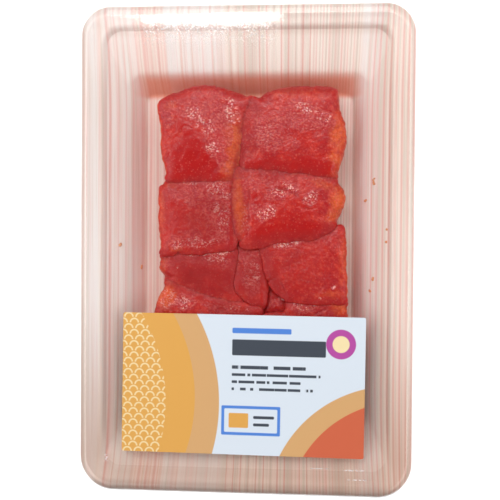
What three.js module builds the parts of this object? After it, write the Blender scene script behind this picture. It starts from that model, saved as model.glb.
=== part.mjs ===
// Film-wrapped foam tray of sliced pollock roe.
// Millimetres, +Z up, +X across the tray, +Y along it. The pack rests on z = 0.
import * as THREE from 'three';

// Tray: a thin thermoformed foam shell. Its floor is ringed by a steep wall, a sloping
// ledge, a small step, a hollow slope and the rim. Half sizes are across and along the
// tray. Corner radii are those of the back corners and of the front ones.
const TRAY_WIDTH = 136.2;
const TRAY_LENGTH = 199.2;
const TRAY_TOP = 24;
const FOAM = 2.4;
const FLOOR_HALF = [44.4, 66.2];
const FLOOR_RADIUS = [4.2, 4.2];
const FLOOR_Z = 3.8;
const WALL_HALF = [49, 72.7];
const WALL_RADIUS = [5.5, 5.5];
const WALL_Z = 12.6;
const WALL_ROUNDING = 1.4;
const STEP_HALF = [58.1, 90.2];
const STEP_RADIUS = [6.4, 6.4];
const STEP_Z = 19.4;
const STEP_RISE = 1.1;
const STEP_RUN = 0.7;
const SLOPE_SAG = 0.5;
const RIM_RADIUS = [12, 14];
const CREST_INSET = 2.4;
const SHOULDER_INSET = 1;
const SHOULDER_DROP = 0.35;
const EDGE_DROP = 1.9;
const LIP_DROP = 3.4;
const FOOT_SPREAD = 0.6;
const FOOT_WIDTH = 6;

// Stretch film, drawn thicker than the real film
const FILM = 0.3;
const GAP = 0.3;
const FILM_SAG = 0.25;
const FILM_SAG_SHARE = 0.55;
const HEEL_RISE = 0.8;
const SEAM_HALF = [2, 38];
const SEAM_RADIUS = [1.9, 1.9];

// Paper label on the film
const LABEL_WIDTH = 98.8;
const LABEL_LENGTH = 57;
const LABEL_PAPER = 0.25;
const LABEL_RADIUS = 0.8;
const LABEL_CENTRE = [-0.45, -54.7];
const LABEL_TURN_DEG = -0.5;
const LABEL_ARC_STEPS = 3;

// Roe slices
const ROE_BOTTOM = FLOOR_Z + GAP;
const WIDEST_SHARE = 0.46;
const BOTTOM_SCALE = 0.82;
const CROWN_ROUND = 2.7;
const SIDE_ROUND = 2.1;
const LEAN = 0.12;
const LUMP = 0.35;
const LUMP_WAVES = [5.5, 6.5];

// Facets
const CORNER_STEPS = 6;
const SIDE_STEPS = 2;
const OUTLINE_STEPS = 28;
const CROWN_RINGS = 6;
const FLANK_RINGS = 2;

// Each slice: the height of its crown, and its outline seen from above as a closed smooth
// curve through its corners and the turns of its sides.
const SLICES = [
  {
    crown: 23.4,
    outline: [
      [-37.9, 61.3], [-31.5, 64.9], [-20.1, 68.2], [-8.0, 65.5], [1.2, 61.6], [-1.9, 54.5],
      [-2.9, 41.1], [-6.2, 31.0], [-20.0, 30.3], [-33.7, 30.6], [-35.8, 47.4],
    ],
  },
  {
    crown: 23.6,
    outline: [
      [2.6, 61.8], [10.2, 65.8], [19.8, 67.8], [36.4, 66.9], [38.1, 57.4], [41.1, 50.7],
      [40.7, 44.5], [37.4, 31.6], [23.4, 33.0], [0.8, 35.3], [-1.7, 44.5], [-0.6, 52.4],
    ],
  },
  {
    crown: 22.8,
    outline: [
      [-37.1, 25.7], [-33.5, 28.6], [-20.0, 29.0], [-6.8, 28.6], [-5.9, 17.6], [-5.9, 6.0],
      [-7.4, 1.5], [-23.8, -0.3], [-35.5, -0.7], [-36.6, 13.3],
    ],
  },
  {
    crown: 23.6,
    outline: [
      [-3.4, 33.2], [4.1, 33.6], [23.0, 31.6], [34.7, 29.6], [39.3, 26.6], [41.0, 21.2],
      [39.4, 15.4], [34.4, 8.7], [27.5, 6.4], [16.1, 5.7], [6.0, 3.7], [-1.6, 3.2],
      [-3.6, 8.0], [-4.7, 17.6], [-4.6, 26.0],
    ],
  },
  {
    crown: 21.6,
    outline: [
      [-35.1, -2.2], [-37.2, -7.9], [-34.2, -11.7], [-25.2, -17.3], [-17.9, -20.5],
      [-8.5, -22.4], [-3.2, -22.6], [-5.4, -17.0], [-7.4, -8.5], [-7.8, -0.6], [-23.8, -1.7],
    ],
  },
  {
    crown: 20.8,
    outline: [
      [-4.4, 1.4], [0.8, 2.0], [5.6, 2.2], [6.7, -1.8], [7.8, -9.6], [7.5, -19.5],
      [3.7, -23.8], [-1.2, -21.6], [-4.2, -14.0], [-6.2, -6.0],
    ],
  },
  {
    crown: 22.6,
    outline: [
      [7.6, 2.2], [16.0, 4.4], [28.0, 5.2], [34.5, 7.4], [40.4, 10.4], [41.4, -4.2],
      [42.1, -15.4], [40.6, -20.2], [30.5, -20.6], [18.6, -19.8], [12.8, -14.2], [9.2, -6.6],
    ],
  },
  {
    crown: 18.0,
    outline: [
      [9.2, -15.6], [11.0, -15.0], [14.5, -18.5], [16.9, -21.2], [15.6, -24.8], [9.6, -24.6],
    ],
  },
  {
    crown: 21.8,
    outline: [
      [-34.4, -13.4], [-26.0, -18.7], [-18.2, -22.1], [-8.0, -24.2], [2.8, -25.6],
      [4.2, -30.0], [4.4, -40.0], [3.4, -51.5], [-3.0, -56.0], [-18.0, -57.0],
      [-33.0, -55.6], [-38.2, -49.0], [-39.5, -38.0], [-38.4, -25.4],
    ],
  },
  {
    crown: 21.8,
    outline: [
      [20.8, -21.6], [30.0, -22.2], [38.6, -22.0], [41.2, -26.0], [41.6, -38.0],
      [40.0, -50.6], [34.5, -56.2], [22.0, -57.2], [10.0, -56.0], [6.0, -50.0],
      [5.9, -38.0], [6.8, -28.0], [12.0, -26.4], [17.8, -25.4],
    ],
  },
];

// One horizontal rounded rectangle. All have the same number of points, so that any two
// can be joined by a strip of facets.
function ringAt({ half: [halfX, halfY], radius: [back, front], z }) {
  const corners = [[1, 1, back], [-1, 1, back], [-1, -1, front], [1, -1, front]];
  const arcs = corners.map(([sx, sy, radius], quarter) => {
    const arc = [];
    for (let i = 0; i <= CORNER_STEPS; i += 1) {
      const angle = (quarter + i / CORNER_STEPS) * (Math.PI / 2);
      const x = sx * (halfX - radius) + radius * Math.cos(angle);
      const y = sy * (halfY - radius) + radius * Math.sin(angle);
      arc.push(new THREE.Vector3(x, y, z));
    }
    return arc;
  });
  return arcs.flatMap((arc, i) => {
    const from = arc[arc.length - 1];
    const to = arcs[(i + 1) % arcs.length][0];
    const side = [];
    for (let step = 1; step < SIDE_STEPS; step += 1) {
      side.push(from.clone().lerp(to, step / SIDE_STEPS));
    }
    return [...arc, ...side];
  });
}

const grown = ([a, b], by) => [a + by, b + by];
const halfway = (a, b) => a.map((value, i) => (value + b[i]) / 2);

// A closed body through a list of rings of equal length. It starts with a cap that faces
// up, runs outwards and down over the rings, and ends with a cap that faces down.
function closedBody(rings) {
  const count = rings[0].length;
  const middle = (ring) => ring
    .reduce((sum, point) => sum.add(point), new THREE.Vector3())
    .divideScalar(ring.length);
  const points = [...rings.flat(), middle(rings[0]), middle(rings[rings.length - 1])];
  const top = rings.length * count;
  const bottom = top + 1;
  const index = [];
  for (let i = 0; i < count; i += 1) {
    const next = (i + 1) % count;
    index.push(top, i, next);
    for (let r = 0; r + 1 < rings.length; r += 1) {
      const upper = r * count;
      const lower = upper + count;
      index.push(upper + i, lower + i, lower + next);
      index.push(upper + i, lower + next, upper + next);
    }
    const last = (rings.length - 1) * count;
    index.push(bottom, last + next, last + i);
  }
  const geometry = new THREE.BufferGeometry();
  geometry.setFromPoints(points);
  geometry.setIndex(index);
  geometry.computeVertexNormals();
  return geometry;
}

const RIM_HALF = [TRAY_WIDTH / 2, TRAY_LENGTH / 2];
const CREST = {
  half: grown(RIM_HALF, -CREST_INSET),
  radius: grown(RIM_RADIUS, -CREST_INSET),
  z: TRAY_TOP,
};
const RIM = [
  { inset: SHOULDER_INSET, z: TRAY_TOP - SHOULDER_DROP },
  { inset: 0, z: TRAY_TOP - EDGE_DROP },
  { inset: 0, z: TRAY_TOP - LIP_DROP },
];
const BASE_Z = FILM + GAP;
const FOOT_HALF = grown(FLOOR_HALF, FOOT_SPREAD);
const FOOT_RADIUS = grown(FLOOR_RADIUS, FOOT_SPREAD);

// The printed upper face, from the edge of the floor out to the crest of the rim.
function upperStations() {
  return [
    { half: FLOOR_HALF, radius: FLOOR_RADIUS, z: FLOOR_Z },
    {
      half: grown(WALL_HALF, -WALL_ROUNDING / 2),
      radius: grown(WALL_RADIUS, -WALL_ROUNDING / 2),
      z: WALL_Z - WALL_ROUNDING,
    },
    {
      half: grown(WALL_HALF, WALL_ROUNDING),
      radius: grown(WALL_RADIUS, WALL_ROUNDING),
      z: WALL_Z + WALL_ROUNDING / 2,
    },
    { half: STEP_HALF, radius: STEP_RADIUS, z: STEP_Z },
    {
      half: grown(STEP_HALF, STEP_RUN),
      radius: grown(STEP_RADIUS, STEP_RUN),
      z: STEP_Z + STEP_RISE,
    },
    {
      half: halfway(grown(STEP_HALF, STEP_RUN), CREST.half),
      radius: halfway(grown(STEP_RADIUS, STEP_RUN), CREST.radius),
      z: (STEP_Z + STEP_RISE + TRAY_TOP) / 2 - SLOPE_SAG,
    },
    CREST,
  ];
}

// The same section one foam thickness further out, square to the upper face.
function undersideStations(upper) {
  const floorMiddle = { half: [0, 0], z: FLOOR_Z };
  return upper.map((station, i) => {
    const before = i > 0 ? upper[i - 1] : floorMiddle;
    const after = upper[Math.min(i + 1, upper.length - 1)];
    const rise = after.z - before.z;
    const runs = after.half.map((half, axis) => half - before.half[axis]);
    const [outX, outY] = runs.map((run) => (FOAM * rise) / Math.hypot(run, rise));
    const [downX, downY] = runs.map((run) => (FOAM * run) / Math.hypot(run, rise));
    return {
      half: [station.half[0] + outX, station.half[1] + outY],
      radius: grown(station.radius, outX),
      z: station.z - (downX + downY) / 2,
    };
  });
}

// The foam shell: its upper face, the bead of the rim, and its underside back to the
// shallow foot ring that it stands on.
function trayGeometry() {
  const upper = upperStations();
  const bead = RIM.map(({ inset, z }) => ({
    half: grown(RIM_HALF, -inset),
    radius: grown(RIM_RADIUS, -inset),
    z,
  }));
  const foot = [
    { half: FOOT_HALF, radius: FOOT_RADIUS, z: BASE_Z },
    { half: grown(FOOT_HALF, -FOOT_WIDTH), radius: FLOOR_RADIUS, z: BASE_Z },
    { half: grown(FOOT_HALF, -FOOT_WIDTH - FOOT_SPREAD), radius: FLOOR_RADIUS, z: FLOOR_Z - FOAM },
  ];
  const under = undersideStations(upper).reverse();
  return closedBody([...upper, ...bead, ...under, ...foot].map(ringAt));
}

// One face of the wrap, at a distance from the tray: stretched flat over the rim, straight
// from the lip to the foot, and drawn together under the foot to a narrow open seam.
function wrapRings(away) {
  const seam = { half: SEAM_HALF, radius: SEAM_RADIUS, z: BASE_Z - away };
  const over = RIM.map(({ inset, z }) => ({
    half: grown(RIM_HALF, away - inset),
    radius: grown(RIM_RADIUS, away - inset),
    z: inset > 0 ? z + away : z,
  }));
  return [
    {
      half: CREST.half.map((half) => half * FILM_SAG_SHARE),
      radius: CREST.radius,
      z: TRAY_TOP + away - FILM_SAG,
    },
    { ...CREST, z: TRAY_TOP + away },
    ...over,
    {
      half: grown(FOOT_HALF, HEEL_RISE + away),
      radius: grown(FOOT_RADIUS, HEEL_RISE),
      z: HEEL_RISE,
    },
    { half: grown(FOOT_HALF, away), radius: FOOT_RADIUS, z: BASE_Z - away },
    seam,
  ].map(ringAt);
}

function filmGeometry() {
  return closedBody([...wrapRings(GAP + FILM), ...wrapRings(GAP).reverse()]);
}

// A flat paper rectangle with slightly rounded corners.
function labelGeometry() {
  const x = LABEL_WIDTH / 2;
  const y = LABEL_LENGTH / 2;
  const r = LABEL_RADIUS;
  const shape = new THREE.Shape();
  shape.moveTo(r - x, -y);
  shape.lineTo(x - r, -y);
  shape.absarc(x - r, r - y, r, -Math.PI / 2, 0);
  shape.lineTo(x, y - r);
  shape.absarc(x - r, y - r, r, 0, Math.PI / 2);
  shape.lineTo(r - x, y);
  shape.absarc(r - x, y - r, r, Math.PI / 2, Math.PI);
  shape.lineTo(-x, r - y);
  shape.absarc(r - x, r - y, r, Math.PI, Math.PI * 1.5);
  return new THREE.ExtrudeGeometry(shape, {
    depth: LABEL_PAPER,
    bevelEnabled: false,
    curveSegments: LABEL_ARC_STEPS,
  });
}

// A slice of roe: the outline is its widest level. Above it the rings close in to a soft
// crown, below it they close in a little to the flat underside. Every slice leans the same
// way, so that each lies a little over the one in front of it, and neighbours stay apart.
function sliceGeometry({ crown, outline }) {
  const height = crown - ROE_BOTTOM;
  const widest = ROE_BOTTOM + height * WIDEST_SHARE;
  const corners = outline.map(([x, y]) => new THREE.Vector3(x, y, 0));
  const curve = new THREE.CatmullRomCurve3(corners, true, 'centripetal');
  const points = curve.getSpacedPoints(OUTLINE_STEPS).slice(0, OUTLINE_STEPS);
  const centre = points
    .reduce((sum, point) => sum.add(point), new THREE.Vector3())
    .divideScalar(points.length);
  const anticlockwise = THREE.ShapeUtils.area(points) > 0;
  const ordered = anticlockwise ? points : points.reverse();
  const [waveX, waveY] = LUMP_WAVES;
  const level = (scale, z, lump) => ordered.map((point) => {
    const at = centre.clone().lerp(point, scale);
    const wave = Math.sin(at.x / waveX + crown) * Math.cos(at.y / waveY - crown);
    return new THREE.Vector3(at.x, at.y - (z - widest) * LEAN, z + lump * (wave - 1));
  });
  const rings = [];
  for (let i = CROWN_RINGS; i >= 0; i -= 1) {
    const angle = (i / (CROWN_RINGS + 1)) * (Math.PI / 2);
    const scale = Math.cos(angle) ** (2 / CROWN_ROUND);
    const rise = Math.sin(angle) ** (2 / SIDE_ROUND);
    rings.push(level(scale, widest + (crown - widest) * rise, LUMP * rise));
  }
  for (let i = 1; i <= FLANK_RINGS; i += 1) {
    const share = i / FLANK_RINGS;
    const scale = 1 - (1 - BOTTOM_SCALE) * share ** 2;
    rings.push(level(scale, widest + (ROE_BOTTOM - widest) * share, 0));
  }
  return closedBody(rings);
}

function named(name, geometry, material) {
  const mesh = new THREE.Mesh(geometry, material);
  mesh.name = name;
  return mesh;
}

const foam = new THREE.MeshStandardMaterial({ color: 0xe6cfc0, roughness: 0.7 });
const clear = new THREE.MeshStandardMaterial({
  color: 0xf4f6f6,
  roughness: 0.08,
  transparent: true,
  opacity: 0.15,
});
const paper = new THREE.MeshStandardMaterial({ color: 0xd6a050, roughness: 0.5 });

const pack = new THREE.Group();
pack.add(named('tray', trayGeometry(), foam));
SLICES.forEach((slice, i) => {
  const roe = new THREE.MeshStandardMaterial({ color: 0xc03a30, roughness: 0.35 });
  pack.add(named(`roe_${i + 1}`, sliceGeometry(slice), roe));
});
pack.add(named('film', filmGeometry(), clear));

const label = named('label', labelGeometry(), paper);
label.position.set(...LABEL_CENTRE, TRAY_TOP + GAP + FILM + GAP);
label.rotation.z = THREE.MathUtils.degToRad(LABEL_TURN_DEG);
pack.add(label);

export default pack;
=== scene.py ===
# Film-wrapped foam tray of sliced pollock roe, with a printed paper label.
import functools
import itertools
import math

import bpy
import numpy as np
from bpy.props import FloatProperty, FloatVectorProperty, PointerProperty
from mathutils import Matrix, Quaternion, Vector


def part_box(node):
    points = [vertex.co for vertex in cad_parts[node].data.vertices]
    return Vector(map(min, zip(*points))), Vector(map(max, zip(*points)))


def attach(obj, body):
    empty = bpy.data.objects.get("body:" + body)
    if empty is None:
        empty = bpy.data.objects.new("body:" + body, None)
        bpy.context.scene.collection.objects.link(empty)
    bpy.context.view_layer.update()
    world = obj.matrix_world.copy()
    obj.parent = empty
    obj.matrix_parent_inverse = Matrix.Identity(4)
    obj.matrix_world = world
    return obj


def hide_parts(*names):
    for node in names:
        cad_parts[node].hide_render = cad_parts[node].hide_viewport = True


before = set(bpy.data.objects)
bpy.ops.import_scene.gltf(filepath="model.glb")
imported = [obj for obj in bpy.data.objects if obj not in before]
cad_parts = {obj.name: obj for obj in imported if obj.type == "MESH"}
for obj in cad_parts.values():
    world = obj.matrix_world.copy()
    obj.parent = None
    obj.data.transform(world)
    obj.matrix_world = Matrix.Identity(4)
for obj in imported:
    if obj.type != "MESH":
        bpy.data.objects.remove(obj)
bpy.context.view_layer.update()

bl_info = {
    "name": "Roe Tray",
    "version": (1, 0, 0),
    "blender": (4, 5, 0),
    "location": "View3D > Sidebar > Roe Tray",
    "description": "Makes a film-wrapped foam tray of sliced roe, piece by piece",
    "category": "Add Mesh",
}

# Shapes are worked out in millimetres and turned to Blender's metres as a mesh is made.
MM = 0.001
TRAY_LOW, TRAY_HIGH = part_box("tray")
LABEL_LOW, LABEL_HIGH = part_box("label")

# The tray's section. A station is half its width, half its length, the radius of its back
# corners, that of its front corners, and its height.
RIM_HALF = (TRAY_HIGH.x / MM, TRAY_HIGH.y / MM)
RIM_RADII = (12.0, 14.0)
RIM_Z = TRAY_HIGH.z / MM
FOOT_Z = TRAY_LOW.z / MM
CREST_INSET = 2.5
# The bead of the rim: how far in and how far down its shoulder, its side and its lip lie
BEAD = ((1.2, 0.5), (0.0, 1.9), (0.0, 3.4))
FLOOR = (44.4, 66.2, 4.2, 4.2, 3.8)
WALL_LOW = (48.3, 72.0, 4.8, 4.8, 11.2)
WALL_HIGH = (50.4, 74.1, 6.9, 6.9, 13.3)
STEP_FOOT = (58.0, 90.1, 6.3, 6.3, 19.2)
STEP_HEAD = (59.4, 91.6, 7.7, 7.7, 21.6)
# How far each corner of the section is rounded, on the printed face and on the bare one
PRINTED_ROUNDING = (0, 1.3, 2.4, 3.0, 0.3, 1.6, 2.6, 1.5, 1.2, 1.2, 1.2)
BARE_ROUNDING = (0.8, 1.0, 0.5, 0.5, 2.5, 2.0, 1.2, 0.8, 0.5, 0.5, 0)
# Where the step starts to run out towards the front, and where it is gone
FRONT_EVEN = (-70.0, -86.0)
# How far the crest of the back rim leans in
BACK_LEAN = 0.9
SLOPE_SAG = 0.2
FOOT_SPREAD = 0.6
FOOT_WIDTH = 6.0
# How uneven forming left the sheet, and how long the waves are
UNEVEN = 0.12
UNEVEN_LENGTH = 26.0

# The print's wood grain, by places across the flat sheet. A band is where it starts and
# ends, its colour and its strength. Streaks are a width, how many times as long they are, a
# shift of the noise, a colour and a strength. Lines have a pitch, a phase and a width as
# shares of the pitch, and how far they wander, as well as a band's values.
GRAIN_EDGE = 1.0
GRAIN_BANDS = (
    (-73.0, -66.5, "blush", 0.3),
    (-66.0, -61.5, "white", 0.8),
    (-60.5, -47.0, "white", 0.5),
    (-45.5, -35.5, "blush", 0.25),
    (-34.5, -29.0, "white", 0.7),
    (-28.0, -9.5, "white", 0.6),
    (47.5, 56.0, "white", 0.6),
)
GRAIN_STREAKS = (
    (3.4, 70, 40.0, "pink", 0.25),
    (1.3, 120, 7.0, "pink", 0.35),
    (1.1, 90, 90.0, "beige", 0.6),
    (0.6, 160, 130.0, "line", 0.2),
)
GRAIN_LINES = (
    (-72.0, -66.5, 1.9, 0.2, 0.2, 0.2, "line", 0.35),
    (-60.5, -57.5, 3.0, 0.2, 0.2, 0.2, "line", 0.7),
    (-57.0, -46.5, 2.7, 0.3, 0.14, 0.5, "line", 0.35),
    (-46.5, -34.8, 3.1, 0.45, 0.26, 0.25, "line", 0.55),
    (-46.5, -34.8, 3.1, 0.9, 0.12, 0.25, "line", 0.35),
    (-29.0, -10.5, 4.3, 0.2, 0.08, 0.4, "pink", 0.5),
    (-9.5, 27.0, 3.05, 0.3, 0.12, 0.35, "line", 0.7),
    (-9.5, 27.0, 4.7, 0.1, 0.14, 0.5, "beige", 0.8),
    (28.0, 47.0, 1.29, 0.0, 0.26, 0.15, "line", 0.4),
    (28.0, 47.0, 2.58, 0.3, 0.14, 0.15, "beige", 0.8),
    (51.0, 75.0, 2.08, 0.1, 0.22, 0.12, "line", 0.6),
    (51.0, 75.0, 2.08, 0.45, 0.16, 0.12, "beige", 0.7),
)

# Where the print is darkened tan as painted shade: on the slopes at the sides and at the
# front end, over the whole front, in the step at the back, and at the back of the sides. Each
# pair is the place where a fade starts and the place where it is full, and the last in a
# group is across.
PAINTED_SHADE_SIDES = (56.0, 62.0)
PAINTED_SHADE_END = (-76.0, -96.0)
PAINTED_SHADE_FRONT = (-15.0, -92.0)
PAINTED_SHADE_STEP = ((87.0, 90.0), (91.6, 90.6), (59.0, 56.5))
PAINTED_SHADE_BACK = (-10.0, 60.0)
# Where the back wall is tinted red-brown, partly a brine stain and partly painted shade and
# red light bounced from the roe: its foot, its top and its ends
STAIN_AND_BOUNCE = ((63.6, 66.0), (75.2, 70.6), (52.0, 41.5))
# Bare foam: its dull patches, its paler ones and the walls of its cells
BARE_FOAM = ("EFEBE6", "F8F6F2", "FBFAF8")

# How far the wrap stands off the foam, how far it dips between the rims, how high its heel
# lies at the foot's edge, and how high it lies under the foot
WRAP_AWAY = 0.36
WRAP_DIP = 0.32
HEEL_RISE = 0.8
WRAP_UNDER = 0.22
# How far each corner of its sides is rounded, from the crest to the fold underneath
WRAP_ROUNDING = (0, 1.4, 1.4, 1.4, 0.8, 0.4, 2.0, 0)
# The share of light that film sends back when seen straight on, from both of its faces, and
# the most that it sends back at a slant
FILM_MIRRORS = 0.065
FILM_MIRRORS_MOST = 0.5
# Where the film is crinkled behind the roe, with a painted speckled white sheen: its near
# and far edge, then its left and right
FILM_CRINKLED = ((80.0, 90.5), (93.5, 92.0), (-48.0, -38.0), (14.0, 8.0))
# Where the film's see-through colour is darkened as painted shade on the rim: at the front,
# above a height of its lip, at the back and at the left
FILM_PAINTED_SHADE_FRONT = (-93.0, -100.4)
FILM_PAINTED_SHADE_LIP = (19.0, 22.0)
FILM_PAINTED_SHADE_BACK = (94.0, 99.0)
FILM_PAINTED_SHADE_LEFT = (-64.5, -67.0)
# Short folds in the film at the front, painted with white glints: middle x and y, half
# width and half length
FILM_GATHERS = (
    (45.0, -88.4, 5.0, 0.5), (46.0, -92.2, 4.6, 0.4), (31.0, -88.0, 4.5, 0.25),
    (-56.6, -85.6, 0.8, 2.2),
)

# The label, in its own plane, and how high and how unevenly it lies on the wrap
LABEL_SIZE = (98.8, 57.0)
LABEL_TURN = math.radians(-0.5)
LABEL_RADIUS = 0.8
LABEL_LIFT = 0.25
LABEL_WAVE = 0.05
# Its print, from its lower left corner. A disc is a middle, a radius and a colour. A panel
# is its left and lower edge, its width, its height and its colour, and a row of dashes is
# like a panel. The wave pattern fills a disc of its own. What comes later lies on top.
PRINT_EDGE = 0.18
LABEL_LEFT = ((-36.0, 20.0, 76.0, "tan"), (-40.0, 22.0, 70.0, "gold"))
WAVE_PITCH = 4.6
WAVE_DISC = (-52.0, 20.0, 70.0)
LABEL_RIGHT = ((112.0, -22.0, 52.0, "tan"), (116.0, -24.0, 48.0, "terracotta"))
LABEL_PANELS = (
    (45.0, 40.5, 38.0, 6.5, "slate"), (41.0, 8.0, 24.0, 12.0, "blue"),
    (42.2, 9.2, 21.6, 9.6, "ground"), (44.0, 11.0, 8.0, 6.0, "gold"),
    (54.0, 14.8, 8.5, 1.2, "slate"), (54.0, 11.8, 6.5, 1.2, "slate"),
    (45.0, 49.5, 24.0, 2.2, "blue"),
)
LABEL_LINE_PITCH = 2.9
LABEL_ROWS = (
    (45.0, 35.0, 30.0, 1.4), (45.0, 32.1, 36.0, 1.1), (45.0, 29.2, 28.0, 1.1),
    (45.0, 26.3, 33.0, 1.1),
)
LABEL_RING = ((89.0, 46.0, 6.0, "plum"), (89.0, 46.0, 3.4, "cream"))
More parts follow.
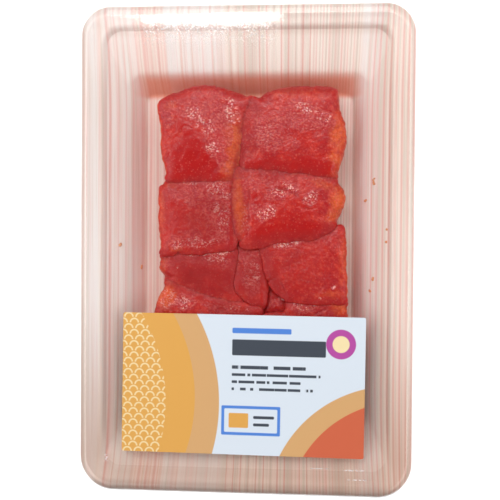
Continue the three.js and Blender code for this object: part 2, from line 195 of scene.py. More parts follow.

# Slices of roe. "soft" is how far in from its back, right, front and left side a slice
# rounds over. The lists after it are spots: "haze" is where pale skin stands off the wrap,
# "orange" a painted glow where light comes through a thin edge, "deep" where the wrap is
# pressed on wet, "dark" where the flesh is darker and painted shade in the gaps between
# slices, "spark" painted glints where ridges catch the light, and "ridges" an edge painted
# as catching the light beside a seam. A spot is x, y, half width, half length, turn in
# degrees and strength. A crease is its two ends, width and depth. A ruck is a patch of fine
# folds: x, y, half width, half length, turn, spacing and height.
SLICES = {
    "roe_1": {
        "outline": [
            (-36.7, 60.6), (-33.5, 62.8), (-30.7, 64.1), (-27.1, 65.5), (-23.0, 66.7),
            (-18.8, 67.4), (-14.7, 67.4), (-10.5, 66.4), (-6.4, 64.9), (-2.3, 63.5),
            (1.3, 61.7), (2.0, 60.6), (0.7, 57.4), (-0.5, 53.9), (-1.1, 50.1), (-1.4, 46.0),
            (-1.8, 40.2), (-2.6, 36.4), (-4.3, 33.3), (-5.4, 30.9), (-6.0, 28.7),
            (-11.7, 28.4), (-22.8, 28.3), (-32.0, 28.6), (-32.8, 32.2), (-33.9, 36.4),
            (-34.9, 41.8), (-34.8, 47.4), (-35.0, 51.5), (-35.7, 55.6),
        ],
        "soft": (4.5, 3.0, 6.0, 2.0),
        "haze": [
            (-14.5, 56.0, 10.5, 5.0, -12, 1.0), (-10.5, 47.5, 6.0, 7.0, 30, 1.0),
            (-12.0, 39.0, 4.2, 6.0, 30, 0.9), (-22.0, 57.0, 4.5, 4.5, 0, 0.9),
            (-32.0, 54.5, 2.6, 2.2, -10, 0.8), (-15.0, 63.0, 9.0, 3.0, 0, 0.5),
            (-31.0, 40.5, 2.2, 3.0, 0, 0.4), (-9.5, 34.0, 4.0, 4.0, 0, 0.5),
        ],
        "orange": [(-4.6, 44.0, 3.6, 10.0, 5, 1.2), (-7.5, 33.0, 3.2, 6.0, -12, 1.0),
                   (-31.0, 59.0, 3.5, 2.5, 20, 0.45)],
        "deep": [(-26.8, 51.8, 1.9, 3.6, 8, 0.8), (-21.5, 39.5, 6.4, 8.5, 12, 1.0),
                 (-23.6, 48.0, 2.6, 3.6, 0, 0.9), (-20.0, 30.5, 14.0, 2.4, 0, 0.8),
                 (-26.0, 38.0, 5.0, 7.5, 10, 1.0), (-22.0, 34.0, 10.5, 5.0, 0, 1.0)],
        "dark": [(-3.7, 37.0, 1.3, 8.0, -12, 1.25), (-5.0, 29.5, 2.4, 1.6, 0, 1.0)],
        "spark": [(-21.5, 56.0, 3.6, 2.6, -20, 1.0), (-5.6, 55.5, 2.6, 4.5, 20, 1.0),
                  (-7.5, 60.0, 2.6, 1.8, -20, 0.9), (-13.6, 41.6, 2.4, 2.4, 0, 1.0),
                  (-16.0, 50.5, 5.0, 3.0, -30, 0.7)],
        "creases": [(-28.6, 45.4, -25.8, 50.6, 0.5, 0.35), (-25.6, 50.8, -22.4, 49.8, 0.4, 0.2),
                    (-20.4, 49.0, -13.6, 36.9, 0.6, 0.2), (-28.6, 54.5, -28.4, 48.5, 0.5, 0.25)],
        "rucks": [(-14.0, 54.0, 10.0, 9.0, 30, 1.5, 0.09)],
    },
    "roe_2": {
        "outline": [
            (2.3, 60.6), (4.3, 61.8), (6.3, 63.1), (8.4, 64.5), (11.7, 65.4), (15.8, 66.2),
            (19.9, 66.8), (28.0, 67.0), (34.8, 66.6), (36.8, 65.5), (37.3, 62.2), (37.6, 58.1),
            (38.4, 55.5), (39.5, 53.0), (40.5, 50.0), (40.8, 45.9), (40.6, 43.3), (39.1, 38.4),
            (37.6, 33.7), (36.3, 29.8), (33.8, 29.3), (28.3, 29.8), (24.3, 30.5), (16.1, 31.6),
            (9.2, 32.2), (3.7, 32.7), (-0.6, 33.3), (-1.6, 36.4), (-1.2, 40.2), (-0.8, 46.0),
            (-0.4, 50.1), (0.2, 53.9), (1.3, 57.4),
        ],
        "soft": (6.0, 4.0, 9.0, 2.6),
        "haze": [
            (9.0, 48.0, 8.0, 8.5, 30, 0.7), (24.0, 54.5, 11.0, 6.5, -15, 0.75),
            (31.0, 53.0, 6.0, 4.5, -20, 0.6), (15.0, 43.0, 8.0, 4.0, 0, 0.45),
            (16.0, 61.0, 14.0, 4.0, 0, 0.3),
        ],
        "orange": [(37.8, 47.0, 4.6, 9.0, -6, 0.9), (36.4, 35.0, 4.0, 6.0, 10, 1.0),
                   (20.0, 64.0, 18.0, 3.6, 0, 0.4)],
        "deep": [(17.0, 34.2, 20.0, 2.8, -3, 0.85), (28.5, 34.0, 9.0, 3.8, -6, 0.9)],
        "dark": [(-2.0, 39.0, 2.4, 9.0, -5, 1.1), (18.0, 31.6, 18.0, 1.8, -4, 0.6)],
        "spark": [(24.5, 57.3, 4.2, 2.2, -15, 1.0), (31.5, 54.6, 3.6, 1.8, -30, 0.9),
                  (7.0, 47.0, 4.0, 5.0, 0, 0.35)],
        "creases": [(14.0, 57.0, 20.0, 60.5, 0.5, 0.12)],
        "rucks": [(26.0, 52.0, 12.0, 7.0, 68, 1.5, 0.1), (11.0, 46.0, 9.0, 8.0, 60, 1.4, 0.06)],
    },
    "roe_3": {
        "outline": [
            (-36.0, 25.5), (-34.4, 26.8), (-32.5, 27.7), (-30.1, 28.3), (-25.5, 28.3),
            (-11.7, 28.5), (-7.8, 28.6), (-5.9, 27.8), (-5.2, 24.9), (-5.0, 20.8), (-4.7, 13.9),
            (-4.1, 8.7), (-3.9, 4.3), (-4.8, 1.4), (-6.0, 0.8), (-11.5, 0.2), (-18.4, -0.6),
            (-24.4, -0.9), (-26.6, -0.5), (-27.6, 0.2), (-28.5, -0.1), (-29.5, -1.5),
            (-31.3, -1.6), (-34.1, -1.8), (-34.8, 0.6), (-35.0, 5.1), (-35.5, 9.0),
            (-36.1, 12.3), (-35.6, 17.9), (-36.1, 22.4),
        ],
        "soft": (2.6, 2.4, 2.6, 2.4),
        "haze": [
            (-12.0, 20.0, 8.0, 9.0, 0, 0.85), (-10.0, 9.0, 6.0, 8.0, 0, 0.9),
            (-22.0, 22.0, 9.0, 5.0, 0, 0.65), (-24.0, 5.0, 8.0, 5.0, 0, 0.6),
            (-28.0, 3.0, 4.0, 4.0, 0, 0.7), (-20.0, 14.0, 8.0, 8.0, 0, 0.35),
        ],
        "orange": [(-34.5, 16.0, 2.2, 11.0, 0, 0.5), (-31.5, 26.5, 4.0, 1.8, 0, 0.4),
                   (-28.6, 0.2, 2.4, 1.2, 0, 0.8)],
        "deep": [(-28.5, 14.0, 5.0, 8.0, 0, 0.5), (-5.4, 12.0, 0.9, 14.0, 0, 0.8)],
        "dark": [(-15.0, 12.0, 13.0, 15.0, 0, 0.8), (-5.2, 12.0, 1.6, 14.0, 0, 0.8)],
        "spark": [(-11.6, 17.2, 1.8, 1.6, 0, 1.2), (-11.0, 24.5, 6.0, 2.6, -20, 0.7),
                  (-8.5, 12.0, 2.6, 6.0, 0, 0.7), (-20.0, 3.0, 9.0, 1.8, 0, 0.7),
                  (-28.0, 1.8, 2.6, 1.6, 0, 0.9), (-23.5, 27.2, 3.0, 0.8, 0, 0.7)],
        "creases": [(-12.5, 23.0, -7.0, 21.5, 0.4, 0.25), (-15.0, 16.0, -9.0, 17.5, 0.4, 0.2)],
        "rucks": [(-12.0, 15.0, 8.0, 13.0, 90, 1.7, 0.11), (-22.0, 22.0, 8.0, 5.0, 80, 1.6, 0.07)],
    },
    "roe_4": {
        "outline": [
            (-3.6, 32.8), (-0.1, 33.2), (4.3, 32.6), (10.2, 32.1), (17.0, 31.5), (22.1, 30.9),
            (27.2, 29.9), (31.7, 29.3), (35.8, 28.8), (38.5, 26.4), (40.2, 23.7), (40.6, 21.0),
            (39.9, 17.6), (38.3, 14.1), (35.6, 10.4), (33.2, 7.8), (29.2, 6.0), (24.1, 5.2),
            (17.2, 4.7), (12.1, 3.9), (6.9, 2.1), (1.8, 1.4), (-0.9, 1.8), (-2.1, 5.1),
            (-3.6, 8.7), (-4.3, 13.9), (-4.6, 18.7), (-4.6, 23.8), (-4.3, 28.2),
        ],
        "soft": (2.6, 6.0, 9.0, 2.2),
        "haze": [
            (2.5, 22.0, 5.0, 9.0, 0, 0.5), (13.0, 22.5, 5.0, 3.0, 15, 0.7),
            (8.5, 15.0, 5.0, 3.4, 25, 0.7), (26.2, 20.8, 3.4, 2.4, 42, 1.3),
            (6.0, 29.0, 7.0, 2.6, -5, 0.6), (17.0, 27.0, 6.0, 2.0, -20, 0.6),
        ],
        "orange": [(38.6, 20.5, 4.0, 7.5, 0, 1.1), (32.0, 26.5, 6.5, 2.6, -10, 0.6),
                   (-2.6, 19.0, 2.6, 13.0, 5, 1.0), (36.0, 14.0, 3.0, 4.0, -40, 0.8)],
        "deep": [(17.0, 8.0, 17.0, 3.8, 6, 0.85), (4.4, 21.6, 2.6, 2.6, 0, 0.6),
                 (21.9, 15.6, 5.0, 1.8, 0, 0.5), (18.0, 13.0, 8.0, 4.0, 0, 0.5)],
        "dark": [(16.0, 5.6, 18.0, 2.4, 5, 0.7), (-2.6, 4.0, 2.0, 3.6, 0, 1.2)],
        "spark": [(13.6, 23.3, 2.6, 2.0, 0, 1.1), (8.6, 15.2, 3.6, 2.4, 20, 1.0),
                  (18.5, 25.8, 3.2, 0.9, -25, 1.0), (26.2, 20.8, 3.0, 2.0, 42, 1.0),
                  (0.5, 12.0, 2.0, 6.0, 0, 0.5)],
        "creases": [(13.0, 25.4, 18.0, 24.8, 0.6, 0.7), (18.0, 24.8, 21.0, 21.5, 0.5, 0.4),
                    (1.4, 28.0, 1.2, 6.0, 0.5, 0.3), (23.4, 16.8, 28.5, 17.4, 0.5, 0.4),
                    (3.0, 21.0, 6.0, 22.0, 0.7, 0.35)],
        "rucks": [(11.0, 20.0, 6.0, 6.0, 70, 1.5, 0.12)],
    },
    "roe_5": {
        "outline": [
            (-34.1, -1.9), (-31.4, -1.8), (-29.2, -1.8), (-25.9, -1.1), (-22.9, -1.0),
            (-18.4, -0.7), (-11.5, 0.1), (-6.0, 0.7), (-4.4, 0.7), (-4.1, -2.3), (-4.4, -5.6),
            (-5.6, -9.8), (-6.2, -13.9), (-5.4, -17.4), (-2.4, -20.8), (-1.5, -22.2),
            (-4.5, -21.6), (-11.4, -20.6), (-18.3, -18.6), (-23.6, -16.8), (-28.8, -14.8),
            (-31.2, -13.1), (-33.4, -11.3), (-36.0, -8.0), (-35.1, -4.7),
        ],
        "soft": (1.4, 4.0, 9.0, 3.5),
        "haze": [(-18.0, -2.6, 12.0, 2.0, 3, 0.9), (-32.5, -5.5, 3.0, 3.0, 0, 0.5),
                 (-12.0, -5.0, 6.0, 4.0, 0, 0.6), (-26.0, -8.0, 5.0, 4.0, 0, 0.35)],
        "orange": [(-34.2, -6.5, 2.4, 4.0, -10, 0.7)],
        "deep": [(-16.0, -11.5, 13.0, 6.0, -18, 0.5)],
        "dark": [(-18.0, -9.0, 17.0, 10.0, -10, 1.1), (-6.0, -13.0, 4.0, 9.0, 15, 1.0),
                 (-14.0, -14.0, 12.0, 4.5, -16, 0.95)],
        "spark": [(-28.3, -7.3, 0.6, 0.6, 0, 1.3), (-12.5, -3.8, 4.5, 1.8, -10, 0.9)],
        "ridges": [(-15.0, -1.5, 9.5, 1.3, 3, 1.0)],
        "creases": [(-33.0, -9.5, -28.0, -4.5, 0.5, 0.12)],
        "rucks": [(-12.0, -4.0, 5.5, 3.0, 20, 1.2, 0.1)],
    },
    "roe_6": {
        "outline": [
            (-4.1, 0.6), (-1.9, 1.3), (3.1, 1.6), (6.2, 1.7), (7.3, 0.2), (7.8, -2.5),
            (8.3, -8.0), (8.3, -12.8), (7.9, -17.9), (7.7, -21.4), (6.6, -23.6), (2.0, -23.7),
            (-2.1, -20.9), (-5.0, -17.6), (-5.9, -14.3), (-5.2, -10.2), (-4.0, -5.2),
        ],
        "soft": (2.0, 3.0, 4.0, 3.6),
        "haze": [(1.5, -3.0, 5.0, 4.0, 0, 0.7), (2.5, -12.5, 5.0, 7.0, 0, 0.65)],
        "orange": [(-0.5, -18.5, 3.0, 3.0, 0, 0.3)],
        "deep": [(-3.5, -15.0, 2.4, 6.0, 25, 0.6), (7.3, -12.0, 1.2, 10.0, 0, 0.7)],
        "dark": [(1.5, -11.0, 7.0, 13.0, 0, 0.9)],
        "spark": [(5.0, -11.0, 0.8, 0.8, 0, 1.3), (-3.4, -5.0, 0.8, 1.2, 0, 1.0),
                  (2.5, -10.0, 4.0, 6.0, 0, 0.4)],
        "creases": [(-4.0, -2.5, -1.5, -9.5, 0.5, 0.3)],
        "rucks": [(1.5, -9.0, 4.0, 9.0, 60, 1.8, 0.08)],
    },
    "roe_7": {
        "outline": [
            (6.5, 2.1), (9.4, 3.3), (13.8, 4.2), (17.2, 4.8), (24.1, 5.3), (30.2, 6.1),
            (33.6, 7.3), (37.0, 9.3), (39.7, 10.9), (40.5, 8.0), (41.0, 1.2), (40.8, -5.6),
            (41.2, -12.5), (41.6, -16.6), (41.0, -20.5), (31.1, -20.8), (24.3, -20.5),
            (17.7, -20.2), (15.8, -18.4), (12.6, -15.9), (11.1, -13.8), (8.9, -8.0),
            (7.9, -2.6),
        ],
        "soft": (2.2, 2.2, 3.0, 4.0),
        "haze": [(17.0, 2.6, 8.0, 2.0, 8, 0.9), (36.0, 4.0, 4.5, 5.0, 30, 0.35),
                 (24.0, -10.0, 8.0, 7.0, 0, 0.3), (30.0, -17.0, 6.0, 1.6, 0, 0.3)],
        "orange": [(40.2, -3.0, 2.4, 13.0, 0, 0.55), (35.0, -18.0, 8.0, 2.0, 0, 0.5)],
        "deep": [(12.0, -9.5, 2.0, 8.0, 25, 0.5), (18.0, -17.0, 6.0, 3.0, 0, 0.3)],
        "dark": [(11.5, -11.0, 3.5, 9.0, 25, 0.9), (22.0, -8.0, 14.0, 12.0, 0, 0.4)],
        "ridges": [(16.5, 2.7, 5.6, 1.4, 8, 1.0)],
        "spark": [(36.4, -14.9, 0.8, 0.8, 0, 1.3),
                  (30.4, -19.6, 0.7, 0.7, 0, 1.2)],
        "creases": [(13.0, -10.0, 17.0, -16.5, 0.5, 0.3), (33.0, -14.0, 28.5, -17.5, 0.5, 0.2),
                    (36.5, 6.0, 40.0, -1.0, 0.5, 0.18)],
        "rucks": [(18.0, 1.6, 8.0, 2.4, 80, 1.4, 0.1), (17.0, -7.0, 5.0, 5.0, 40, 2.0, 0.06)],
    },
    "roe_8": {
        "outline": [
            (8.8, -13.6), (10.9, -15.0), (12.3, -16.6), (15.6, -19.1), (17.3, -20.7),
            (17.4, -24.4), (16.0, -26.0), (8.5, -26.2), (8.2, -22.4), (8.5, -18.3),
        ],
        "soft": (1.6, 2.0, 2.0, 1.6),
        "haze": [(12.5, -21.5, 3.0, 2.5, 0, 0.5)],
        "orange": [],
        "deep": [(11.0, -16.5, 2.5, 2.5, 0, 0.6)],
        "dark": [(10.0, -18.0, 2.0, 6.0, 0, 0.6)],
        "spark": [(15.6, -20.4, 1.0, 1.0, 0, 1.4)],
        "creases": [],
        "rucks": [],
    },
    "roe_9": {
        "outline": [
            (-31.7, -13.1), (-28.8, -15.0), (-23.6, -17.0), (-18.3, -18.8), (-11.4, -20.8),
            (-4.5, -21.8), (-1.3, -22.5), (2.0, -24.0), (6.4, -24.2), (5.6, -30.0), (4.8, -40.0),
            (3.4, -51.5), (-3.0, -56.0), (-18.0, -57.0), (-33.0, -55.6), (-37.2, -49.0),
            (-39.0, -38.0), (-38.2, -28.9), (-37.4, -24.8), (-35.2, -18.5),
        ],
        "soft": (2.6, 2.6, 4.0, 2.4),
        "haze": [(-25.0, -21.0, 5.0, 4.0, 0, 0.8), (-12.0, -23.0, 7.0, 2.4, -10, 0.6),
                 (-3.0, -24.5, 6.0, 2.0, 0, 0.9), (-18.0, -34.0, 12.0, 8.0, 0, 0.5),
                 (-14.0, -46.0, 9.0, 6.0, 20, 0.4)],
        "orange": [(-33.0, -19.0, 5.0, 6.0, -30, 1.0), (-37.0, -34.0, 3.0, 12.0, 0, 0.5)],
        "deep": [(-14.0, -20.6, 6.0, 1.2, -15, 0.6), (-20.0, -50.0, 12.0, 5.0, 0, 0.4)],
        "dark": [(-6.0, -23.5, 10.0, 4.0, -8, 0.9)],
        "spark": [(-25.3, -21.7, 2.6, 2.4, 0, 0.9), (-3.0, -23.8, 5.0, 1.0, -5, 1.1),
                  (-32.0, -20.0, 4.0, 4.5, -30, 0.55)],
        "creases": [(-22.0, -30.0, -12.0, -33.0, 0.5, 0.25)],
        "rucks": [(-18.0, -36.0, 12.0, 9.0, 75, 1.8, 0.1)],
    },
    "roe_10": {
        "outline": [
            (17.7, -21.8), (19.5, -21.3), (24.3, -21.0), (31.1, -21.2), (37.9, -20.9),
            (40.9, -21.4), (41.5, -25.4), (41.9, -38.0), (40.0, -50.6), (34.5, -56.2),
            (22.0, -57.2), (10.0, -56.0), (6.6, -50.0), (6.0, -38.0), (6.8, -27.2),
            (12.0, -26.6), (16.4, -26.4), (17.9, -24.4),
        ],
        "soft": (2.6, 2.4, 4.0, 2.4),
        "haze": [(24.0, -23.0, 6.0, 2.4, 0, 1.0), (30.0, -22.5, 5.0, 2.0, 0, 0.8),
                 (24.0, -36.0, 10.0, 8.0, 0, 0.5), (28.0, -47.0, 8.0, 5.0, 0, 0.4)],
        "orange": [(38.5, -23.5, 3.5, 3.0, 0, 0.8), (40.0, -40.0, 2.6, 9.0, 0, 0.5)],
        "deep": [(10.0, -28.0, 5.0, 3.0, 0, 0.5), (22.0, -52.0, 12.0, 4.0, 0, 0.4)],
        "dark": [(27.0, -26.0, 14.0, 4.0, 0, 0.25)],
        "spark": [(23.5, -22.6, 4.0, 1.4, -20, 0.9), (29.4, -21.8, 2.0, 1.0, 30, 1.0)],
        "creases": [(28.0, -26.0, 34.5, -22.0, 0.5, 0.3)],
        "rucks": [(25.0, -26.0, 8.0, 4.0, 40, 1.5, 0.1)],
    },
}
# The lists whose strengths a slice's colour attribute holds, in order, with the shares of
# its size out to which a spot is full and at which it is gone
TONES = {
    "haze": (0.7, 1.25), "orange": (0.2, 1.6), "deep": (0.7, 1.25), "spark": (0.7, 1.25),
}
# How small a slice's lower face is, and how its top is domed: up in the middle, down at its
# edge, and by which power of a superellipse it rounds over
BOTTOM_SCALE = 0.97
DOME_UP = 0.3
DOME = 1.0
TOP_ROUND = 2.3
# How far down the rounding goes, as a share of how far in, and its least and most. Beside
# another slice it is no more than the last value.
DROP_SHARE = 0.85
LEAST_DROP = 0.8
MOST_DROP = 8.0
CLOSE_DROP = 0.8
# How far slices press into each other, all round and again lower down, from how near, and
# how far under the wrap's upper sheet they stay
PRESSED_IN = 0.35
PRESSED_LOWER = 1.0
NEIGHBOUR_AWAY = 3.2
UNDER_WRAP = 0.14
# How strongly free edges show a painted orange glow of light coming through, how dark seams,
# their sides and the slopes at the back are painted in shade, and how dark the dark spots are
EDGE_GLOW = 0.6
SEAM_SHADE = 0.75
BESIDE_SEAM_SHADE = 0.6
DARK_SHADE = 0.75
BACK_SHADE = 0.75
# Points round a slice, and rings over its top, its rounding, its flank and its lower face
SLICE_AROUND = 400
TOP_RINGS = 58
BEND_RINGS = 26
FLANK_RINGS = 14
BASE_RINGS = 5

# Crumbs of roe on the tray: x, y and length. Each has so many eggs to the millimetre, with
# a radius between two sizes and up to so far out of line. An egg is a ball with so many
# points round it, and from its top to its foot.
CRUMB_RADIUS = (0.42, 0.62)
CRUMB_OFF_LINE = 0.25
CRUMB_EGGS_PER_MM = 1.6
CRUMB_TURNS = 14
CRUMB_TILTS = 9
CRUMBS = [
    (52.3, 28.6, 3.2), (49.1, 20.8, 1.3), (57.4, 8.8, 1.1), (57.5, 3.8, 1.2),
    (-53.1, 1.7, 1.7), (-45.8, -7.9, 2.1), (52.3, -11.5, 1.8), (51.1, -16.5, 1.3),
]

# The camera looks almost straight down. Its place and turn were worked out from the
# tray's corners.
CAMERA_AT = (29.83, 7.11, 370.12)
CAMERA_TURN_DEG = (-1.114, 4.567, 0.412)
CAMERA_LENS = 61.69
CAMERA_SENSOR = 36.0
CAMERA_CLIP = 10
FLOOR_HALF = 4000

# The lights: place, aim, size, watts, roll and spread in degrees, and shape
LIGHTS = {
    "key": ((-27, 335, 400), (-27, 40, 10), (312, 260), 0.2, 0.0, 110, "RECTANGLE"),
    "spark": ((-60, 330, 640), (-60, 0, 20), (60, 60), 0.3, 0.0, 180, "RECTANGLE"),
    "strip": ((-126, 273, 724), (-126, 98, 24), (220, 32), 0.28, -5.0, 180, "ELLIPSE"),
}

# Kinds of node that the materials use again and again, each under a word: the type, its
# settings, the inputs that values go to in order, and the output that is used
COMMON_NODES = {
    "fade": ("ShaderNodeMapRange", {"interpolation_type": "SMOOTHSTEP"}, (0, 1, 2), 0),
    "blend": ("ShaderNodeMix", {"data_type": "RGBA"}, (0, 6, 7), 2),
    "tint": ("ShaderNodeMix", {"data_type": "RGBA", "blend_type": "MULTIPLY"}, (0, 6, 7), 2),
}


def linear(code):
    """An sRGB hex colour as linear red, green and blue."""
    parts = [int(code[i:i + 2], 16) / 255 for i in (0, 2, 4)]
    return tuple(c / 12.92 if c <= 0.04045 else ((c + 0.055) / 1.055) ** 2.4 for c in parts)


def colour_prop(name, code, description):
    """A colour setting, whose default is an sRGB hex colour."""
    return FloatVectorProperty(
        name=name, description=description, subtype="COLOR", size=3, min=0, max=1,
        default=linear(code),
    )


def length_prop(name, size_mm, description):
    """A length setting, whose default is given in millimetres."""
    return FloatProperty(
        name=name, description=description, subtype="DISTANCE", unit="LENGTH", min=0,
        default=size_mm * MM,
    )


class RoeTrayFoam(bpy.types.PropertyGroup):
    """The tray's foam and the wood print on it"""

    thickness: length_prop("Foam", 2.4, "Thickness of the foam shell")
    draw: length_prop("Draw", 1.7, "How far forming drew the print in at the walls")
    cream: colour_prop("Cream", "F7EADF", "Main colour of the wood print")
    white: colour_prop("White", "F2ECEA", "Palest bands of the print")
    beige: colour_prop("Beige", "E0D2C4", "Dull bands and lines of the print")
    blush: colour_prop("Blush", "F3D6CA", "Soft pink bands of the print")
    pink: colour_prop("Pink", "EEC0B6", "Pink streaks of the print")
    line: colour_prop("Line", "E5A196", "Strongest lines of the print")
    # Painted shade: the print is darkened towards this colour at its front, sides, step and back
    tan: colour_prop("Tan", "D6BFB0", "Tint of the print at its front, sides and step")
    # Partly a brine stain, partly painted shade and red light bounced from the roe
    brine: colour_prop("Brine", "E6774A", "Stain that brine leaves on the back wall")


class RoeTrayRoe(bpy.types.PropertyGroup):
    """The roe's eggs and the colours of its flesh and skin"""

    egg: length_prop("Egg", 1.05, "Diameter of one egg")
    red: colour_prop("Red", "CA2F26", "Main colour of the flesh")
    crimson: colour_prop("Crimson", "AA1D26", "Cooler patches of the flesh")
    orange: colour_prop("Orange", "DE6430", "Thin edges, which light passes through")
    salmon: colour_prop("Salmon", "E8604C", "Paler patches of the flesh")
    deep: colour_prop("Deep", "BC1715", "Wet patches pressed against the wrap")
    haze: colour_prop("Haze", "B8383E", "Skin that the wrap doesn't touch")
    painted_highlight: colour_prop("Speck", "E47468", "Ridges of the skin in the haze")
    # Painted highlights on the skin's ridges in the haze and in the middle of the eggs
    glint: colour_prop("Glint", "F9C2BA", "Brightest ridges of the skin")
    # Painted glints on ridges, drops and glinting spots
    fold: colour_prop("Fold", "9C1012", "Folds between slices, and the darkest slices")
    # Painted shade in folds between slices, beside them and at the back, and the darkest flesh
    crumb: colour_prop("Crumb", "DE9A6C", "Loose eggs on the tray")


class RoeTrayLabel(bpy.types.PropertyGroup):
    """The label's paper and the colours of its print"""

    thickness: length_prop("Paper", 0.12, "Thickness of the label")
    ground: colour_prop("Ground", "D3DCE6", "Ground of the label")
    gold: colour_prop("Gold", "D99F4A", "Large field of the label")
    tan: colour_prop("Tan", "CFA06A", "Arcs beside the large fields")
    terracotta: colour_prop("Terracotta", "C95F3E", "Field at the right")
    cream: colour_prop("Cream", "EDD9A8", "Wave pattern, and the middle of the ring")
    slate: colour_prop("Slate", "39404B", "Dark bars and rows of dashes")
    blue: colour_prop("Blue", "4A7FD0", "Bar at the top and frame of the small panel")
    plum: colour_prop("Plum", "B0459A", "Ring")


# Shapes


def noise(seed, *axes):
    """Smooth noise between -1 and 1, in as many dimensions as there are axes. Seeded random
    values stand at whole numbers, and smooth steps join them."""
    table = np.random.default_rng(seed).uniform(-1, 1, 4096)
    axes = np.broadcast_arrays(*axes)
    cells = [np.floor(axis).astype(np.int64) for axis in axes]
    parts = [axis - cell for axis, cell in zip(axes, cells)]
    eased = [part * part * (3 - 2 * part) for part in parts]
    total = np.zeros(axes[0].shape)
    for corner in itertools.product((0, 1), repeat=len(axes)):
        key = np.zeros(axes[0].shape, np.int64)
        weight = np.ones(axes[0].shape)
        for prime, cell, side, share in zip((73856093, 19349663, 83492791), cells, corner, eased):
            key ^= (cell + side) * prime
            weight = weight * (share if side else 1 - share)
        total += table[key % 4096] * weight
    return total


def rough(seed, size, *axes):
    """Three octaves of noise, whose largest lumps are one size long."""
    return sum(
        noise(seed + i, *[axis * 2**i / size for axis in axes]) / 2**i for i in range(3)
    ) / 1.75


def ease(low, high, value):
    """0 below low, 1 above high, and a smooth step between. low may be the larger one."""
    share = np.clip((value - low) / (high - low), 0, 1)
    return share * share * (3 - 2 * share)


def rounded(points, setbacks, arc_steps, stride, closed=False):
    """A path through points, in any number of dimensions, with its corners rounded. Each
    corner is a quadratic curve that starts and ends one setback away, at most 0.48 of the
    way to the next point, and a straight run has a point every stride."""
    points = np.asarray(points, float)
    count = len(points)
    share = np.linspace(0, 1, arc_steps)[:, None]
    path = []
    for i in range(count):
        before, here, after = points[i - 1], points[i], points[(i + 1) % count]
        if not closed and i in (0, count - 1):
            arc = here[None]
        else:
            back, ahead = before - here, after - here
            reach = min(
                setbacks[i], 0.48 * np.linalg.norm(back), 0.48 * np.linalg.norm(ahead)
            )
            start = here + back / np.linalg.norm(back) * reach
            end = here + ahead / np.linalg.norm(ahead) * reach
            arc = (1 - share) ** 2 * start + 2 * share * (1 - share) * here + share**2 * end
        path.append(arc)
    if closed:
        path.append(path[0][:1])
    dense = [path[0]]
    for arc in path[1:]:
        start, end = dense[-1][-1], arc[0]
        runs = max(1, math.ceil(np.linalg.norm(end - start) / stride))
        between = np.linspace(0, 1, runs + 1)[1:-1, None]
        dense.append(start + (end - start) * between)
        dense.append(arc)
    whole = np.concatenate(dense)
    return whole[:-1] if closed else whole


def rings(stations, corner_steps, side_steps):
    """A ring for each station: a rounded rectangle, anticlockwise from above. A corner's
    points lie on its arc, and a side's on the line from one arc to the next. Gives points
    as stations by places round the ring by 3."""
    stations = np.asarray(stations, float)
    half_x, half_y, back, front, z = (stations[:, i:i + 1] for i in range(5))
    quarter, angle, share = [], [], []
    for corner in range(4):
        turn = (corner + np.arange(corner_steps + 1) / corner_steps) * (math.pi / 2)
        steps = side_steps[corner % 2]
        quarter += [corner] * (corner_steps + steps)
        angle += [*turn, *[turn[-1]] * (steps - 1)]
        share += [*np.zeros(corner_steps + 1), *(np.arange(1, steps) / steps)]
    quarter, angle, share = np.array(quarter), np.array(angle), np.array(share)

    def on_arc(corner):
        """Points on the arcs of these corners, at each place's angle."""
        side_x = np.where((corner == 0) | (corner == 3), 1, -1)
        side_y = np.where(corner < 2, 1, -1)
        radius = np.where(side_y > 0, back, front)
        x = side_x * (half_x - radius) + radius * np.cos(angle)
        y = side_y * (half_y - radius) + radius * np.sin(angle)
        return np.stack([x, y], -1)

    flat = on_arc(quarter) * (1 - share)[:, None] + on_arc((quarter + 1) % 4) * share[:, None]
    return np.concatenate([flat, np.broadcast_to(z[..., None], (*flat.shape[:2], 1))], -1)


def normals_of(grid):
    """The outward normal at each point of a grid of rings."""
    along = np.gradient(grid, axis=0)
    around = np.roll(grid, -1, 1) - np.roll(grid, 1, 1)
    normal = np.cross(along, around)
    return normal / np.maximum(np.linalg.norm(normal, axis=-1, keepdims=True), 1e-9)


def mesh_object(name, points, faces, uv=None, tone=None, shade=None, looks=None):
    """A smooth-shaded mesh object from points in millimetres and lists of faces with equal
    numbers of corners. uv gives each point a place on its print, tone its four colour
    shares, shade how much painted shade it has, and looks the material number of each face."""
    mesh = bpy.data.meshes.new(name)
    corners = np.concatenate([part.ravel() for part in faces]).astype(np.int32)
    sizes = np.concatenate([np.full(len(part), part.shape[1], np.int32) for part in faces])
    mesh.vertices.add(len(points))
    mesh.vertices.foreach_set("co", (points * MM).astype(np.float32).ravel())
    mesh.loops.add(len(corners))
    mesh.loops.foreach_set("vertex_index", corners)
    mesh.polygons.add(len(sizes))
    mesh.polygons.foreach_set("loop_start", (np.cumsum(sizes) - sizes).astype(np.int32))
    mesh.polygons.foreach_set("loop_total", sizes)
    if looks is not None:
        mesh.polygons.foreach_set("material_index", np.asarray(looks, np.int32))
    mesh.update(calc_edges=True)
    if mesh.validate():
        raise RuntimeError(f"{name} has faces that aren't valid")
    mesh.shade_smooth()
    if uv is not None:
        layer = mesh.uv_layers.new(name="print_mm")
        layer.data.foreach_set("uv", uv[corners].astype(np.float32).ravel())
    if tone is not None:
        layer = mesh.color_attributes.new(name="tone", type="FLOAT_COLOR", domain="POINT")
        layer.data.foreach_set("color", tone.astype(np.float32).ravel())
    if shade is not None:
        layer = mesh.attributes.new(name="shade", type="FLOAT", domain="POINT")
        layer.data.foreach_set("value", shade.astype(np.float32).ravel())
    made = bpy.data.objects.new(name, mesh)
    bpy.context.scene.collection.objects.link(made)
    return made


